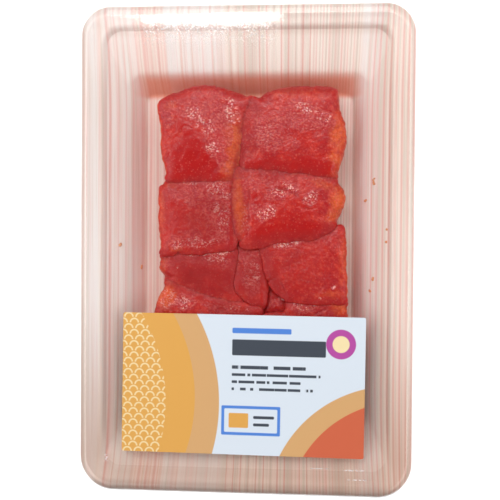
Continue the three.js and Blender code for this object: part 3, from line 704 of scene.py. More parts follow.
def closed_faces(ring_count, around):
    """Faces of a closed body through rings, whose first and last points are its poles: fans
    at the poles and four-sided faces between, all facing out."""
    here = np.arange(around)
    after = (here + 1) % around
    first = 1
    last = first + (ring_count - 1) * around
    bottom = last + around
    top_fan = np.stack([np.zeros_like(here), first + here, first + after], 1)
    upper = first + np.arange(ring_count - 1)[:, None] * around
    lower = upper + around
    walls = np.stack([upper + here, lower + here, lower + after, upper + after], -1)
    bottom_fan = np.stack([np.full_like(here, bottom), last + after, last + here], 1)
    return top_fan, walls.reshape(-1, 4), bottom_fan


def closed_points(grid):
    """The points of a grid of rings between its two poles, each the middle of its ring."""
    return np.concatenate([grid[0].mean(0)[None], grid.reshape(-1, 3), grid[-1].mean(0)[None]])


def place(made, node_name):
    """Declares a finished piece: it rides on the pack and takes the node's place."""
    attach(made, "root")
    if node_name:
        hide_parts(node_name)


# Materials


def add_node(tree, kind, *inputs, output=0, **settings):
    """Adds a node and gives one of its outputs. kind is a word of COMMON_NODES, an operation
    of the Math node, or a node's type. inputs are values or other nodes' outputs, in order
    or as one table by name. settings are the node's own properties."""
    order = range(len(inputs))
    if kind in COMMON_NODES:
        kind, settings, order, output = COMMON_NODES[kind]
    elif kind.isupper():
        kind, settings = "ShaderNodeMath", {"operation": kind}
    made = tree.nodes.new(kind)
    for name, value in settings.items():
        setattr(made, name, value)
    named = inputs[0] if inputs and isinstance(inputs[0], dict) else dict(zip(order, inputs))
    for name, value in named.items():
        socket = made.inputs[name]
        if isinstance(value, bpy.types.NodeSocket):
            tree.links.new(value, socket)
        elif socket.type == "RGBA":
            socket.default_value = (*value, 1)[:4]
        else:
            socket.default_value = value
    return made.outputs[output] if made.outputs else None


def new_material(name):
    """An empty node material, and add_node for its own tree."""
    material = bpy.data.materials.new(name)
    material.use_nodes = True
    material.node_tree.nodes.clear()
    return material, functools.partial(add_node, material.node_tree)


def object_mm(add):
    """The place on the piece in millimetres."""
    place_of = add("ShaderNodeTexCoord", output="Object")
    return add("ShaderNodeMapping", {"Vector": place_of, "Scale": (1 / MM, 1 / MM, 1 / MM)})


def print_mm(add):
    """The place on the flat print in millimetres, as x and y sockets."""
    flat = add("ShaderNodeUVMap", uv_map="print_mm")
    return add("ShaderNodeSeparateXYZ", flat).node.outputs[:2]


def printed_foam_material(foam):
    """Foamed polystyrene sheet with a printed film laid on it before forming. The print is
    straight wood grain, so its streaks run the tray's length, and the film gives a
    half-dull sheen over fine foam cells. The print is darkened tan as painted shade at its
    front, sides, step and back, and the back wall is tinted red-brown, partly a brine stain
    and partly painted shade and red light bounced from the roe."""
    material, add = new_material("printed_foam_sheet")
    x, y = print_mm(add)

    def streaks(size, stretch, shift, detail=2.0):
        """Noise drawn out along the grain, one size wide and that many times as long."""
        place_of = add(
            "ShaderNodeCombineXYZ", add("DIVIDE", add("ADD", x, shift), size),
            add("DIVIDE", y, size * stretch))
        return add("ShaderNodeTexNoise", {
            "Vector": place_of, "Scale": 1.0, "Detail": detail, "Roughness": 0.5,
        })

    def lines(pitch, centre, width, wander):
        """Soft lines one pitch apart, which wander a little along the grain."""
        drift = add("MULTIPLY", streaks(13.0, 14, 20.0, 0.0), wander)
        phase = add("ADD", add("DIVIDE", x, pitch), drift)
        between = add("FRACT", add("SUBTRACT", phase, centre))
        off = add("ABSOLUTE", add("SUBTRACT", between, 0.5))
        return add("fade", off, width * 1.35, width * 0.1)

    def zone(low, high):
        """1 between two places across the sheet, with soft edges."""
        start = add("fade", x, low - GRAIN_EDGE, low + GRAIN_EDGE)
        return add("MULTIPLY", start, add("fade", x, high + GRAIN_EDGE, high - GRAIN_EDGE))

    broad = streaks(9.0, 40, 3.1)
    colour = add("blend", add("fade", broad, 0.32, 0.5), foam.beige, foam.cream)
    for low, high, tint, most in GRAIN_BANDS:
        share = add("MULTIPLY", zone(low, high), most)
        colour = add("blend", share, colour, getattr(foam, tint))
    for size, stretch, shift, tint, most in GRAIN_STREAKS:
        share = add("fade", streaks(size, stretch, shift), 0.5, 0.68)
        colour = add("blend", add("MULTIPLY", share, most), colour, getattr(foam, tint))
    for low, high, pitch, centre, width, wander, tint, most in GRAIN_LINES:
        share = add("MULTIPLY", lines(pitch, centre, width, wander), zone(low, high))
        uneven = add("MULTIPLY", share, add("fade", streaks(2.6, 25, 60.0), 0.2, 0.5))
        colour = add("blend", add("MULTIPLY", uneven, most), colour, getattr(foam, tint))

    # Painted shade: the print is darkened tan on the outer slopes, over the front, in the step and
    # at the back of the sides
    across = add("ABSOLUTE", x)
    sides = add("fade", across, *PAINTED_SHADE_SIDES)
    outer = add("MAXIMUM", sides, add("fade", y, *PAINTED_SHADE_END))
    front = add("MULTIPLY", add("fade", y, *PAINTED_SHADE_FRONT), add("MULTIPLY_ADD", outer, 0.4, 0.4))
    step = add("MULTIPLY", add("fade", y, *PAINTED_SHADE_STEP[0]), add("fade", y, *PAINTED_SHADE_STEP[1]))
    step = add("MULTIPLY", step, add("fade", across, *PAINTED_SHADE_STEP[2]))
    dull = add("MAXIMUM", front, add("MULTIPLY", step, 0.3))
    back = add("MULTIPLY", sides, add("fade", y, *PAINTED_SHADE_BACK))
    dull = add("MULTIPLY_ADD", back, 0.18, dull)
    colour = add("tint", dull, colour, foam.tan)
    # The back wall's red-brown: partly a brine stain, partly painted shade and bounced red light
    stain_and_bounce = add("MULTIPLY", add("fade", y, *STAIN_AND_BOUNCE[0]), add("fade", y, *STAIN_AND_BOUNCE[1]))
    stain_and_bounce = add("MULTIPLY", stain_and_bounce, add("fade", across, *STAIN_AND_BOUNCE[2]))
    colour = add("blend", add("MULTIPLY", stain_and_bounce, 0.7), colour, foam.brine)

    cells = add("ShaderNodeTexVoronoi", {"Vector": object_mm(add), "Scale": 1.6})
    dimples = add("ShaderNodeBump", {"Height": cells, "Strength": 0.18, "Distance": 0.12 * MM})
    shader = add("ShaderNodeBsdfPrincipled", {
        "Base Color": colour, "Roughness": 0.42, "Normal": dimples,
        "Subsurface Weight": 0.2, "Subsurface Radius": (1.6, 1.4, 1.2),
        "Subsurface Scale": MM,
    })
    add("ShaderNodeOutputMaterial", {"Surface": shader})
    return material


def bare_foam_material():
    """Foamed polystyrene, extruded and formed. Its skin is white and dull, with cells of
    about a third of a millimetre, drawn at twice that so that they show."""
    material, add = new_material("bare_polystyrene_foam")
    dull, pale, walls = (linear(code) for code in BARE_FOAM)
    place_of = object_mm(add)
    cells = add("ShaderNodeTexVoronoi", {"Vector": place_of, "Scale": 1.5})
    clouds = add("ShaderNodeTexNoise", {"Vector": place_of, "Scale": 0.12, "Detail": 3.0})
    colour = add("blend", add("fade", clouds, 0.35, 0.65), dull, pale)
    colour = add("blend", add("fade", cells, 0.55, 0.15), colour, walls)
    bump = add("ShaderNodeBump", {"Height": cells, "Strength": 0.35, "Distance": 0.15 * MM})
    shader = add("ShaderNodeBsdfPrincipled", {
        "Base Color": colour, "Roughness": 0.62, "Normal": bump,
    })
    add("ShaderNodeOutputMaterial", {"Surface": shader})
    return material


def roe_material(roe):
    """Salted roe in its thin skin, cut across. The eggs give a fine grain, light soaks in, thin
    edges get a painted orange glow as if lit through, and brine leaves a wet coat. Where the
    wrap is pressed on, the colour is deep, and elsewhere a pale haze lies over it. Painted
    highlights lie on the haze's ridges, on the eggs and on drops, and painted shade between
    the eggs and in the folds between slices."""
    material, add = new_material("salted_roe")
    place_of = object_mm(add)
    egg = roe.egg / MM
    grain = add("ShaderNodeTexVoronoi", {
        "Vector": place_of, "Scale": 1 / egg, "Randomness": 0.9,
    })
    fine, mottle, patches, broad, wetted, thinned = (
        add("ShaderNodeTexNoise", {
            "Vector": place_of, "Scale": scale, "Detail": detail, "Roughness": 0.6,
        })
        for scale, detail in (
            (1.3 / egg, 2.0), (0.5, 3.0), (0.45, 2.0), (0.1, 3.0), (1.1, 1.0), (0.9, 1.0))
    )
    drawn = add("ShaderNodeMapping", {
        "Vector": place_of, "Rotation": (0, 0, math.radians(50)), "Scale": (0.6, 1.15, 1.0),
    })

    def wrinkles(scale, width, gaps_from, gaps_to):
        """Short winding ridges: where drawn-out noise crosses its middle, broken up by
        other noise."""
        bends = add("ShaderNodeTexNoise", {
            "Vector": drawn, "Scale": scale, "Detail": 1.0, "Distortion": 0.7,
        })
        breaks = add("ShaderNodeTexNoise", {
            "Vector": place_of, "Scale": scale * 2.0, "Detail": 0.0, "Roughness": 0.6,
        })
        ridge = add("fade", add("ABSOLUTE", add("SUBTRACT", bends, 0.5)), width, width * 0.2)
        return add("MULTIPLY", ridge, add("fade", breaks, gaps_from, gaps_to))

    tone = add("ShaderNodeAttribute", attribute_name="tone").node.outputs
    haze, orange, deep = add("ShaderNodeSeparateColor", tone["Color"]).node.outputs
    spark = tone["Alpha"]
    shade = add("ShaderNodeAttribute", attribute_name="shade", output="Fac")
    ragged = add("MULTIPLY_ADD", mottle, 0.6, -0.36)
    orange = add("fade", add("ADD", orange, ragged), 0.0, 1.05)
    ragged = add("MULTIPLY_ADD", patches, 0.9, -0.45)
    haze = add("fade", add("ADD", haze, ragged), 0.25, 0.6)
    # Painted highlights: ridges of the skin in the haze, drops of brine and glinting spots
    ridges = add("MULTIPLY", wrinkles(0.52, 0.14, 0.36, 0.6), haze)
    beads = add("fade", add("ShaderNodeTexVoronoi", {"Vector": place_of, "Scale": 0.62}),
                0.36, 0.16)
    beads = add("MULTIPLY", beads, add("fade", wetted, 0.36, 0.54))
    glints = add("MAXIMUM", wrinkles(0.7, 0.08, 0.44, 0.6), beads)
    glints = add("MAXIMUM", glints, add("fade", spark, 1.15, 1.28))
    glints = add("MINIMUM", add("MULTIPLY", glints, spark), 0.85)
    # Painted highlight in the middle of each egg
    egg_highlights = add("MULTIPLY", add("fade", grain, 0.45, 0.1), add("MULTIPLY_ADD", haze, 0.1, 0.36))

    colour = roe.red
    for share, over in (
        (add("MULTIPLY", add("fade", broad, 0.38, 0.64), 0.7), roe.crimson),
        (orange, roe.orange),
        (add("MULTIPLY", add("fade", mottle, 0.5, 0.68), 0.35), roe.salmon),
        (deep, roe.deep),
        (add("MULTIPLY", haze, 0.6), roe.haze),
        (add("MULTIPLY", add("fade", mottle, 0.5, 0.34), 0.3), roe.crimson),
        (add("MULTIPLY", ridges, 0.5), roe.painted_highlight),
        (glints, roe.glint),
        (add("MULTIPLY", egg_highlights, add("fade", thinned, 0.4, 0.6)), roe.painted_highlight),
        # Painted shade between the eggs
        (add("MULTIPLY", add("fade", grain, 0.5, 0.75), 0.32), roe.deep),
        # Painted shade in folds, beside seams, in dark spots and on the back slopes
        (add("MULTIPLY", shade, 0.85), roe.fold),
    ):
        colour = add("blend", share, colour, over)

    height = add("MULTIPLY_ADD", grain, -0.8, fine)
    height = add("MULTIPLY_ADD", ridges, 0.9, height)
    height = add("MULTIPLY", height, add("MULTIPLY_ADD", deep, -0.8, 1.0))
    skin, coat = (
        add("ShaderNodeBump", {"Height": height, "Strength": strength, "Distance": depth * MM})
        for strength, depth in ((0.6, 0.22), (0.5, 0.16))
    )
    gloss = add("MULTIPLY_ADD", shade, 0.3, add("MULTIPLY_ADD", haze, 0.12, 0.3))
    shader = add("ShaderNodeBsdfPrincipled", {
        "Base Color": colour, "Roughness": gloss, "IOR": 1.33,
        "Subsurface Weight": 0.8, "Subsurface Radius": (4.0, 0.8, 0.4),
        "Subsurface Scale": MM, "Coat Weight": add("MULTIPLY_ADD", shade, -0.35, 0.35),
        "Coat Roughness": 0.12, "Coat IOR": 1.34, "Normal": skin, "Coat Normal": coat,
    })
    add("ShaderNodeOutputMaterial", {"Surface": shader})
    return material


def crumb_material(roe):
    """Single eggs in brine: small beads that light goes right through, so they are paler
    than the flesh, with a wet shine."""
    material, add = new_material("loose_roe_eggs")
    speckle = add("ShaderNodeTexNoise", {"Vector": object_mm(add), "Scale": 1.4, "Detail": 1.0})
    colour = add("blend", add("fade", speckle, 0.5, 0.75), roe.crumb, roe.orange)
    shader = add("ShaderNodeBsdfPrincipled", {
        "Base Color": colour, "Roughness": 0.3, "Coat Weight": 0.6, "Coat Roughness": 0.12,
    })
    add("ShaderNodeOutputMaterial", {"Surface": shader})
    return material


def stretch_film_material():
    """Clear stretch film, blown and pulled tight. It shows by what it mirrors, more at a
    slant, and its pull leaves faint ripples in that. It is crinkled behind the roe, where a
    speckled white sheen is painted on, and its short folds at the front carry painted white
    glints. It dims what lies behind at a slant, and on the rim its see-through colour is
    darkened as painted shade."""
    material, add = new_material("clear_stretch_film")
    place_of = object_mm(add)
    x, y, z = add("ShaderNodeSeparateXYZ", place_of).node.outputs
    ripple, crinkle = (
        add("ShaderNodeTexNoise", {
            "Vector": place_of, "Scale": scale, "Detail": detail, "Roughness": roughness,
        })
        for scale, detail, roughness in ((0.42, 3.0, 0.55), (1.1, 2.0, 0.6))
    )
    near, far, left, right = FILM_CRINKLED
    crinkled = add("MULTIPLY", add("fade", y, *near), add("fade", y, *far))
    within = add("MULTIPLY", add("fade", x, *left), add("fade", x, *right))
    crinkled = add("MULTIPLY", crinkled, within)
    height = add("MULTIPLY_ADD", add("MULTIPLY", crinkled, crinkle), 5.0, ripple)
    bump = add("ShaderNodeBump", {"Height": height, "Strength": 0.03, "Distance": 0.1 * MM})
    facing = add("ShaderNodeLayerWeight", {"Blend": 0.5, "Normal": bump}, output="Facing")
    mirrored = add("POWER", facing, 5.0)
    mirrored = add("MULTIPLY_ADD", mirrored, 1 - FILM_MIRRORS, FILM_MIRRORS)
    mirrored = add("MINIMUM", mirrored, FILM_MIRRORS_MOST)

    # Painted shade: the see-through colour darkens on the rim at the front, back and left
    lip = add("MULTIPLY", add("fade", z, *FILM_PAINTED_SHADE_LIP), 0.42)
    front = add("MULTIPLY", add("fade", y, *FILM_PAINTED_SHADE_FRONT), lip)
    back = add("MULTIPLY", add("fade", y, *FILM_PAINTED_SHADE_BACK), 0.1)
    side = add("MULTIPLY", add("fade", x, *FILM_PAINTED_SHADE_LEFT), 0.16)
    dim = add("MULTIPLY", add("POWER", facing, 8.0), 0.9)
    dim = add("MAXIMUM", add("MAXIMUM", dim, add("MAXIMUM", back, side)), front)
    through = add("blend", dim, (0.985, 0.985, 0.985), (0.2, 0.18, 0.19))
    clear = add("ShaderNodeBsdfTransparent", {"Color": through})
    sharp, soft = (
        add("ShaderNodeBsdfGlossy", {
            "Color": (1, 1, 1), "Roughness": roughness, "Normal": bump,
        })
        for roughness in (0.04, 0.13)
    )
    gloss = add("ShaderNodeMixShader", 0.5, sharp, soft)
    shader = add("ShaderNodeMixShader", mirrored, clear, gloss)

    # Painted reflection: a speckled white sheen behind the roe and white glints on the folds at
    # the front
    painted_sheen = add("MULTIPLY", crinkled, add("fade", crinkle, 0.53, 0.62))
    broken = add("fade", crinkle, 0.45, 0.53)
    for middle_x, middle_y, half_x, half_y in FILM_GATHERS:
        along = add("ABSOLUTE", add("SUBTRACT", x, middle_x))
        across = add("ABSOLUTE", add("SUBTRACT", y, middle_y))
        fold = add("MULTIPLY", add("fade", along, half_x, half_x * 0.6),
                   add("fade", across, half_y, half_y * 0.3))
        painted_sheen = add("MAXIMUM", painted_sheen, add("MULTIPLY", fold, broken))
    sheen_white = add("ShaderNodeBsdfDiffuse", {"Color": (0.95, 0.94, 0.95)})
    shader = add("ShaderNodeMixShader", add("MULTIPLY", painted_sheen, 0.42), shader, sheen_white)
    add("ShaderNodeOutputMaterial", {"Surface": shader})
    return material


def label_material(label):
    """Coated label paper, printed in flat colours. The coat gives a soft shine. The print
    is large arcs of colour, a wave lattice, a ring, blank bars and panels, and rows of
    dashes."""
    material, add = new_material("coated_label_paper")
    x, y = print_mm(add)

    def length(a, b):
        """The root of the sum of two squares."""
        return add("SQRT", add("ADD", add("MULTIPLY", a, a), add("MULTIPLY", b, b)))

    def disc(centre_x, centre_y, radius):
        """1 inside a circle."""
        here = add("ShaderNodeCombineXYZ", x, y)
        away = add("ShaderNodeVectorMath", here, (centre_x, centre_y, 0.0),
                   operation="DISTANCE", output="Value")
        return add("fade", away, radius + PRINT_EDGE, radius - PRINT_EDGE)

    def panel(left, low, width, height, corner):
        """1 inside a rectangle with rounded corners."""
        reach = []
        for place_of, start, size in ((x, left, width), (y, low, height)):
            off = add("ABSOLUTE", add("SUBTRACT", place_of, start + size / 2))
            reach.append(add("MAXIMUM", add("SUBTRACT", off, size / 2 - corner), 0.0))
        return add("fade", length(*reach), corner + PRINT_EDGE, corner - PRINT_EDGE)

    def scales(pitch):
        """The traditional wave pattern: rows of overlapping arcs, half a pitch apart."""
        row = add("DIVIDE", y, pitch * 0.5)
        odd = add("MULTIPLY", add("MODULO", add("FLOOR", row), 2.0), 0.5)
        along = add("FRACT", add("ADD", add("DIVIDE", x, pitch), odd))
        up = add("MULTIPLY", add("FRACT", row), 0.5)
        away = length(add("SUBTRACT", along, 0.5), up)
        return add("fade", add("ABSOLUTE", add("SUBTRACT", away, 0.36)), 0.1, 0.04)

    line = add("ShaderNodeCombineXYZ", x, add("SNAP", y, LABEL_LINE_PITCH))
    gaps = add("ShaderNodeTexNoise", {"Vector": line, "Scale": 0.45, "Detail": 1.0})
    dashes = add("fade", gaps, 0.41, 0.44)
    waves = add("MULTIPLY", scales(WAVE_PITCH), disc(*WAVE_DISC))
    layers = [
        *((disc(*place_of), tint) for *place_of, tint in LABEL_LEFT),
        (add("MULTIPLY", waves, 0.8), "cream"),
        *((disc(*place_of), tint) for *place_of, tint in LABEL_RIGHT),
        *((panel(*place_of, 0.5), tint) for *place_of, tint in LABEL_PANELS),
        *((add("MULTIPLY", panel(*row, 0.3), dashes), "slate") for row in LABEL_ROWS),
        *((disc(*place_of), tint) for *place_of, tint in LABEL_RING),
    ]
    colour = label.ground
    for share, tint in layers:
        colour = add("blend", share, colour, getattr(label, tint))

    fibres = add("ShaderNodeTexNoise", {"Vector": object_mm(add), "Scale": 2.2, "Detail": 3.0})
    bump = add("ShaderNodeBump", {"Height": fibres, "Strength": 0.1, "Distance": 0.05 * MM})
    worn = add("ADD", 0.34, add("MULTIPLY", fibres, 0.12))
    shader = add("ShaderNodeBsdfPrincipled", {
        "Base Color": colour, "Roughness": worn, "Normal": bump,
    })
    add("ShaderNodeOutputMaterial", {"Surface": shader})
    return material


# Tray


def crest_half():
    """Half the width and half the length of the tray at the crest of its rim."""
    return tuple(half - CREST_INSET for half in RIM_HALF)


def upper_stations():
    """Stations of the printed face, from the edge of the floor to the crest of the rim."""
    crest = (*crest_half(), *[radius - CREST_INSET for radius in RIM_RADII], RIM_Z)
    slope = [(a + b) / 2 for a, b in zip(STEP_HEAD, crest)]
    slope[-1] -= SLOPE_SAG
    return np.array([FLOOR, WALL_LOW, WALL_HIGH, STEP_FOOT, STEP_HEAD, slope, crest])


def bead_stations(away=0.0):
    """Stations over the bead of the rim, from its shoulder to its lower lip, or that far
    away from it."""
    shoulder, side, lip = BEAD
    return np.array([
        (*[half - inset + away for half in RIM_HALF], *[r - inset + away for r in RIM_RADII], z)
        for inset, z in (
            (shoulder[0], RIM_Z - shoulder[1] + away), (side[0], RIM_Z - side[1]),
            (lip[0], RIM_Z - lip[1]),
        )
    ])


def lean(grid, half):
    """Moves the crest of the back rim in, on a grid of rings with these half lengths. The
    move fades out over the rings inside and outside the crest, and along the sides."""
    back = RIM_HALF[1]
    most = BACK_LEAN * ease(back - 6.2, back - 2.7, half) * ease(back, back - 1.8, half)
    grid[..., 1] -= most[:, None] * ease(half[:, None] - 9.0, half[:, None], grid[..., 1])


def underside_stations(upper, thickness):
    """The upper stations one foam thickness further out, square to the section."""
    before = np.concatenate([[(0, 0, 0, 0, upper[0, 4])], upper[:-1]])
    after = np.concatenate([upper[1:], upper[-1:]])
    rise = after[:, 4] - before[:, 4]
    run = after[:, :2] - before[:, :2]
    size = np.hypot(run, rise[:, None])
    out = thickness * rise[:, None] / size
    down = (thickness * run / size).mean(1)
    moved = upper.copy()
    moved[:, :2] += out
    moved[:, 2:4] += out[:, :1]
    moved[:, 4] -= down
    return moved


def tray_section(foam):
    """The whole section as one path of stations from the middle of the floor to the middle
    of the underside, and how many of its points carry the print."""
    upper = upper_stations()
    foot = [half + FOOT_SPREAD for half in FLOOR[:2]]
    radius = FLOOR[2] + FOOT_SPREAD
    inner = [half - FOOT_WIDTH for half in foot]
    recess = FLOOR[4] - foam.thickness / MM
    middle = (0.2, 0.2, 0.1, 0.1)
    printed = [(*middle, FLOOR[4]), *upper, *bead_stations()]
    plain = [
        *underside_stations(upper, foam.thickness / MM)[::-1],
        (*foot, radius, radius, FOOT_Z),
        (*inner, FLOOR[2], FLOOR[2], FOOT_Z),
        (*[half - FOOT_SPREAD for half in inner], FLOOR[2], FLOOR[2], recess),
        (*middle, recess),
    ]
    path = rounded(printed + plain, PRINTED_ROUNDING + BARE_ROUNDING, 7, 2.4)
    lip = int(np.argmin(np.abs(path - printed[-1]).sum(1)))
    return path, lip


def tray_grid(foam):
    """The tray as a grid of rings, with slight unevenness from forming. Towards the front
    the step runs out: there the section is averaged over 9 mm."""
    path, lip = tray_section(foam)
    grid = rings(path, 14, (46, 66))
    half, height = path[:lip, 0], path[:lip, 4]
    even = np.interp(half[:, None] + np.linspace(-4.5, 4.5, 19), half, height).mean(1)
    inside = ease(WALL_HIGH[0] + 1.0, WALL_HIGH[0] + 5.0, half)
    inside *= ease(crest_half()[0] - 0.5, crest_half()[0] - 4.0, half)
    front = ease(*FRONT_EVEN, grid[:lip, :, 1])
    grid[:lip, :, 2] += front * ((even - height) * inside)[:, None]
    lean(grid[:lip], path[:lip, 1])
    x, y, z = np.moveaxis(grid, -1, 0)
    uneven = UNEVEN * rough(11, UNEVEN_LENGTH, x, y, z) * ease(0.0, 6.0, np.hypot(x, y))
    uneven *= ease(FOOT_Z, FOOT_Z + 2.0, z)
    uneven *= 1 - ease(RIM_HALF[0] - 6.0, RIM_HALF[0] - 2.0, np.abs(x))
    return grid + normals_of(grid) * uneven[..., None], lip


def flat_print(x, y, draw):
    """Where a point of the tray lay on the flat sheet. Forming drew the sheet in towards
    the hollow by up to draw, most at the top of its walls and not at its ends."""
    wall = WALL_HIGH[0]
    across = np.abs(x)
    inside = across / wall
    outside = 1 - np.clip((across - wall) / (RIM_HALF[0] + 1.0 - wall), 0, 1) ** 1.5
    share = np.where(across < wall, inside, outside)
    share = share * ease(RIM_HALF[1] + 12.0, WALL_HIGH[1] - 20.0, np.abs(y))
    return np.stack([x + np.sign(x) * draw * share, y], -1)


class ROE_TRAY_OT_tray(bpy.types.Operator):
    """Make the printed foam tray"""

    bl_idname = "roe_tray.tray"
    bl_label = "Foam Tray"

    def execute(self, context):
        foam = context.scene.roe_tray_foam
        grid, lip = tray_grid(foam)
        count, around = grid.shape[:2]
        points = closed_points(grid)
        faces = closed_faces(count, around)
        looks = np.concatenate([
            np.zeros(around), np.repeat(np.arange(count - 1) >= lip, around), np.ones(around),
        ])
        uv = flat_print(points[:, 0], points[:, 1], foam.draw / MM)
        made = mesh_object("tray_shell", points, faces, uv=uv, looks=looks)
        made.data.materials.append(printed_foam_material(foam))
        made.data.materials.append(bare_foam_material())
        place(made, "tray")
        return {"FINISHED"}


# Roe


def wrap_height(x, y):
    """Height of the wrap's upper sheet: level with the rim, with a shallow even dip."""
    half_x, half_y = crest_half()
    dip = (1 - (x / half_x) ** 2) * (1 - (y / half_y) ** 2)
    return RIM_Z + WRAP_AWAY - WRAP_DIP * np.clip(dip, 0, 1)


def spots(patches, x, y, solid=0.7, reach=1.25):
    """The largest of soft elliptical patches, each at its full strength out to solid times
    its size and 0 from reach times its size on."""
    total = np.zeros(x.shape)
    for centre_x, centre_y, half_x, half_y, turn, strength in patches:
        cos, sin = math.cos(math.radians(turn)), math.sin(math.radians(turn))
        along = ((x - centre_x) * cos + (y - centre_y) * sin) / half_x
        across = ((y - centre_y) * cos - (x - centre_x) * sin) / half_y
        total = np.maximum(total, strength * ease(reach, solid, np.hypot(along, across)))
    return total


def creased(creases, x, y):
    """The depth of creases: a bell curve of the distance to a line, shallower at its ends.
    Noise bends the lines."""
    x = x + 0.7 * noise(3, x / 3.0, y / 3.0)
    y = y + 0.7 * noise(4, x / 3.0, y / 3.0)
    depth = np.zeros(x.shape)
    for x0, y0, x1, y1, width, most in creases:
        run_x, run_y = x1 - x0, y1 - y0
        share = ((x - x0) * run_x + (y - y0) * run_y) / (run_x**2 + run_y**2)
        share = np.clip(share, 0, 1)
        away = np.hypot(x - x0 - share * run_x, y - y0 - share * run_y)
        ends = 0.3 + 0.7 * np.sin(math.pi * share)
        depth = np.maximum(depth, most * ends * np.exp(-((away / width) ** 2)))
    return depth


def rucked(rucks, x, y, seed):
    """The height of patches of fine folds: sharp broken ridges, longer one way."""
    height = np.zeros(x.shape)
    for centre_x, centre_y, half_x, half_y, turn, spacing, most in rucks:
        cos, sin = math.cos(math.radians(turn)), math.sin(math.radians(turn))
        along = (x - centre_x) * cos + (y - centre_y) * sin
        across = (y - centre_y) * cos - (x - centre_x) * sin
        bent = along / spacing + 0.7 * rough(seed, 5.0, x, y)
        share = spots([(centre_x, centre_y, half_x, half_y, 0, 1.0)], x, y)
        share *= 0.6 + 0.4 * noise(seed + 5, x / 4.0, y / 4.0)
        ridge = 1 - 2.5 * np.abs(noise(seed + 6, bent, across / (spacing * 2.2)))
        height += most * share * ridge
    return height


def slice_outline(recipe, seed):
    """A slice's outline as evenly spaced points, and the direction out at each. Its edge is
    torn a little by noise."""
    path = rounded(recipe["outline"], [1.5] * len(recipe["outline"]), 8, 0.4, closed=True)
    if (path[:, 0] * np.roll(path[:, 1], -1) - np.roll(path[:, 0], -1) * path[:, 1]).sum() < 0:
        path = path[::-1]
    gaps = np.linalg.norm(np.roll(path, -1, 0) - path, axis=1)
    travel = np.concatenate([[0], np.cumsum(gaps)])
    whole = np.concatenate([path, path[:1]])
    want = np.linspace(0, travel[-1], SLICE_AROUND, endpoint=False)
    outline = np.stack([np.interp(want, travel, whole[:, i]) for i in (0, 1)], 1)
    run = np.roll(outline, -2, 0) - np.roll(outline, 2, 0)
    out = np.stack([run[:, 1], -run[:, 0]], 1) / np.linalg.norm(run, axis=1)[:, None]
    torn = 0.32 * rough(seed, 3.2, *outline.T) + 0.2 * noise(seed + 9, *(outline.T / 1.1))
    return outline + out * (PRESSED_IN + torn)[:, None], out


def closeness(outline, others):
    """1 where another slice is right beside the outline, and 0 from NEIGHBOUR_AWAY on."""
    away = outline[:, None] - np.concatenate(others)[None]
    return ease(NEIGHBOUR_AWAY, 1.0, np.sqrt((away**2).sum(-1)).min(1))


def slice_block(recipe, seed, outline, out, close, bottom, crown):
    """A slice before its surface is uneven, as a grid of rings, with each point's scale and
    the height that each side rounds down to. Each ring is the outline drawn in towards
    its middle. The top is nearly flat and rounds over by a superellipse, as far in and down
    as each side is soft. Lower down, neighbours press into each other."""
    middle = outline.mean(0)
    spoke = outline - middle
    reach = np.linalg.norm(spoke, axis=1)
    sides = np.clip([out[:, 1], out[:, 0], -out[:, 1], -out[:, 0]], 0, 1) ** 2
    soft = (sides * np.array(recipe["soft"])[:, None]).sum(0)
    soft = np.convolve(np.tile(soft, 3), np.ones(15) / 15, "same")[SLICE_AROUND:2 * SLICE_AROUND]
    soft = soft * (1 + 0.4 * noise(seed + 15, *(outline.T / 6.0)))
    share_in = np.clip(soft / reach, 0.02, 0.85)
    drop = np.clip(soft * DROP_SHARE, LEAST_DROP, MOST_DROP)
    drop = drop * (1 - close) + np.minimum(drop, CLOSE_DROP) * close

    flat = np.arange(1, TOP_RINGS + 1)[:, None] / TOP_RINGS
    bend = np.linspace(math.pi / 2, 0, BEND_RINGS + 1)[1:, None]
    flank = np.arange(1, FLANK_RINGS + 1)[:, None] / FLANK_RINGS
    base = np.linspace(1, 0, BASE_RINGS + 1)[1:-1, None]
    level = np.ones(SLICE_AROUND)
    scale = np.concatenate([
        flat * (1 - share_in),
        1 - (1 - np.cos(bend) ** (2 / TOP_ROUND)) * share_in,
        (1 - (1 - BOTTOM_SCALE) * flank**2) * level,
        BOTTOM_SCALE * base * level,
    ])
    edge = crown - drop
    z = np.concatenate([
        crown * np.ones_like(flat) * level,
        edge + drop * np.sin(bend) ** (2 / TOP_ROUND),
        edge + (bottom - edge) * flank,
        bottom * np.ones_like(base) * level,
    ])
    domed = DOME_UP - DOME * scale**2
    z = bottom + (z - bottom) * (1 + domed / (crown - bottom))
    grid = np.stack([middle[0] + spoke[:, 0] * scale, middle[1] + spoke[:, 1] * scale, z], -1)
    lower = ease(edge + 0.8, edge - 0.4, z) * ease(bottom, bottom + 1.5, z)
    grid[..., :2] += out * (PRESSED_LOWER * close * lower)[..., None]
    return grid, scale, edge


def slice_relief(recipe, seed, place_of, tone, edge):
    """How far the surface moves along its normal: lumps of two sizes, fine ridges and grain
    where it is dry, a rise where it is wet and pressed on, creases and rucks."""
    x, y, z = place_of
    dry = (0.35 + 0.65 * np.clip(tone[..., 0] + tone[..., 3], 0, 1)) * (1 - tone[..., 2])
    above = ease(edge - 2.0, edge + 0.5, z)
    along, across = x * 0.64 - y * 0.77, x * 0.77 + y * 0.64
    ridges = 1 - 2.4 * np.abs(noise(seed + 36, along / 2.6, across / 1.4, z / 1.6))
    moved = 0.4 * rough(seed + 20, 9.0, x, y, z) + 0.16 * rough(seed + 30, 3.0, x, y, z)
    moved = moved + (0.09 * ridges + 0.05 * noise(seed + 35, x / 0.9, y / 0.9, z / 0.9)) * dry
    moved = moved + 0.15 * tone[..., 2]
    moved = moved - creased(recipe["creases"], x, y) * above
    return moved + rucked(recipe["rucks"], x, y, seed + 40) * above * dry


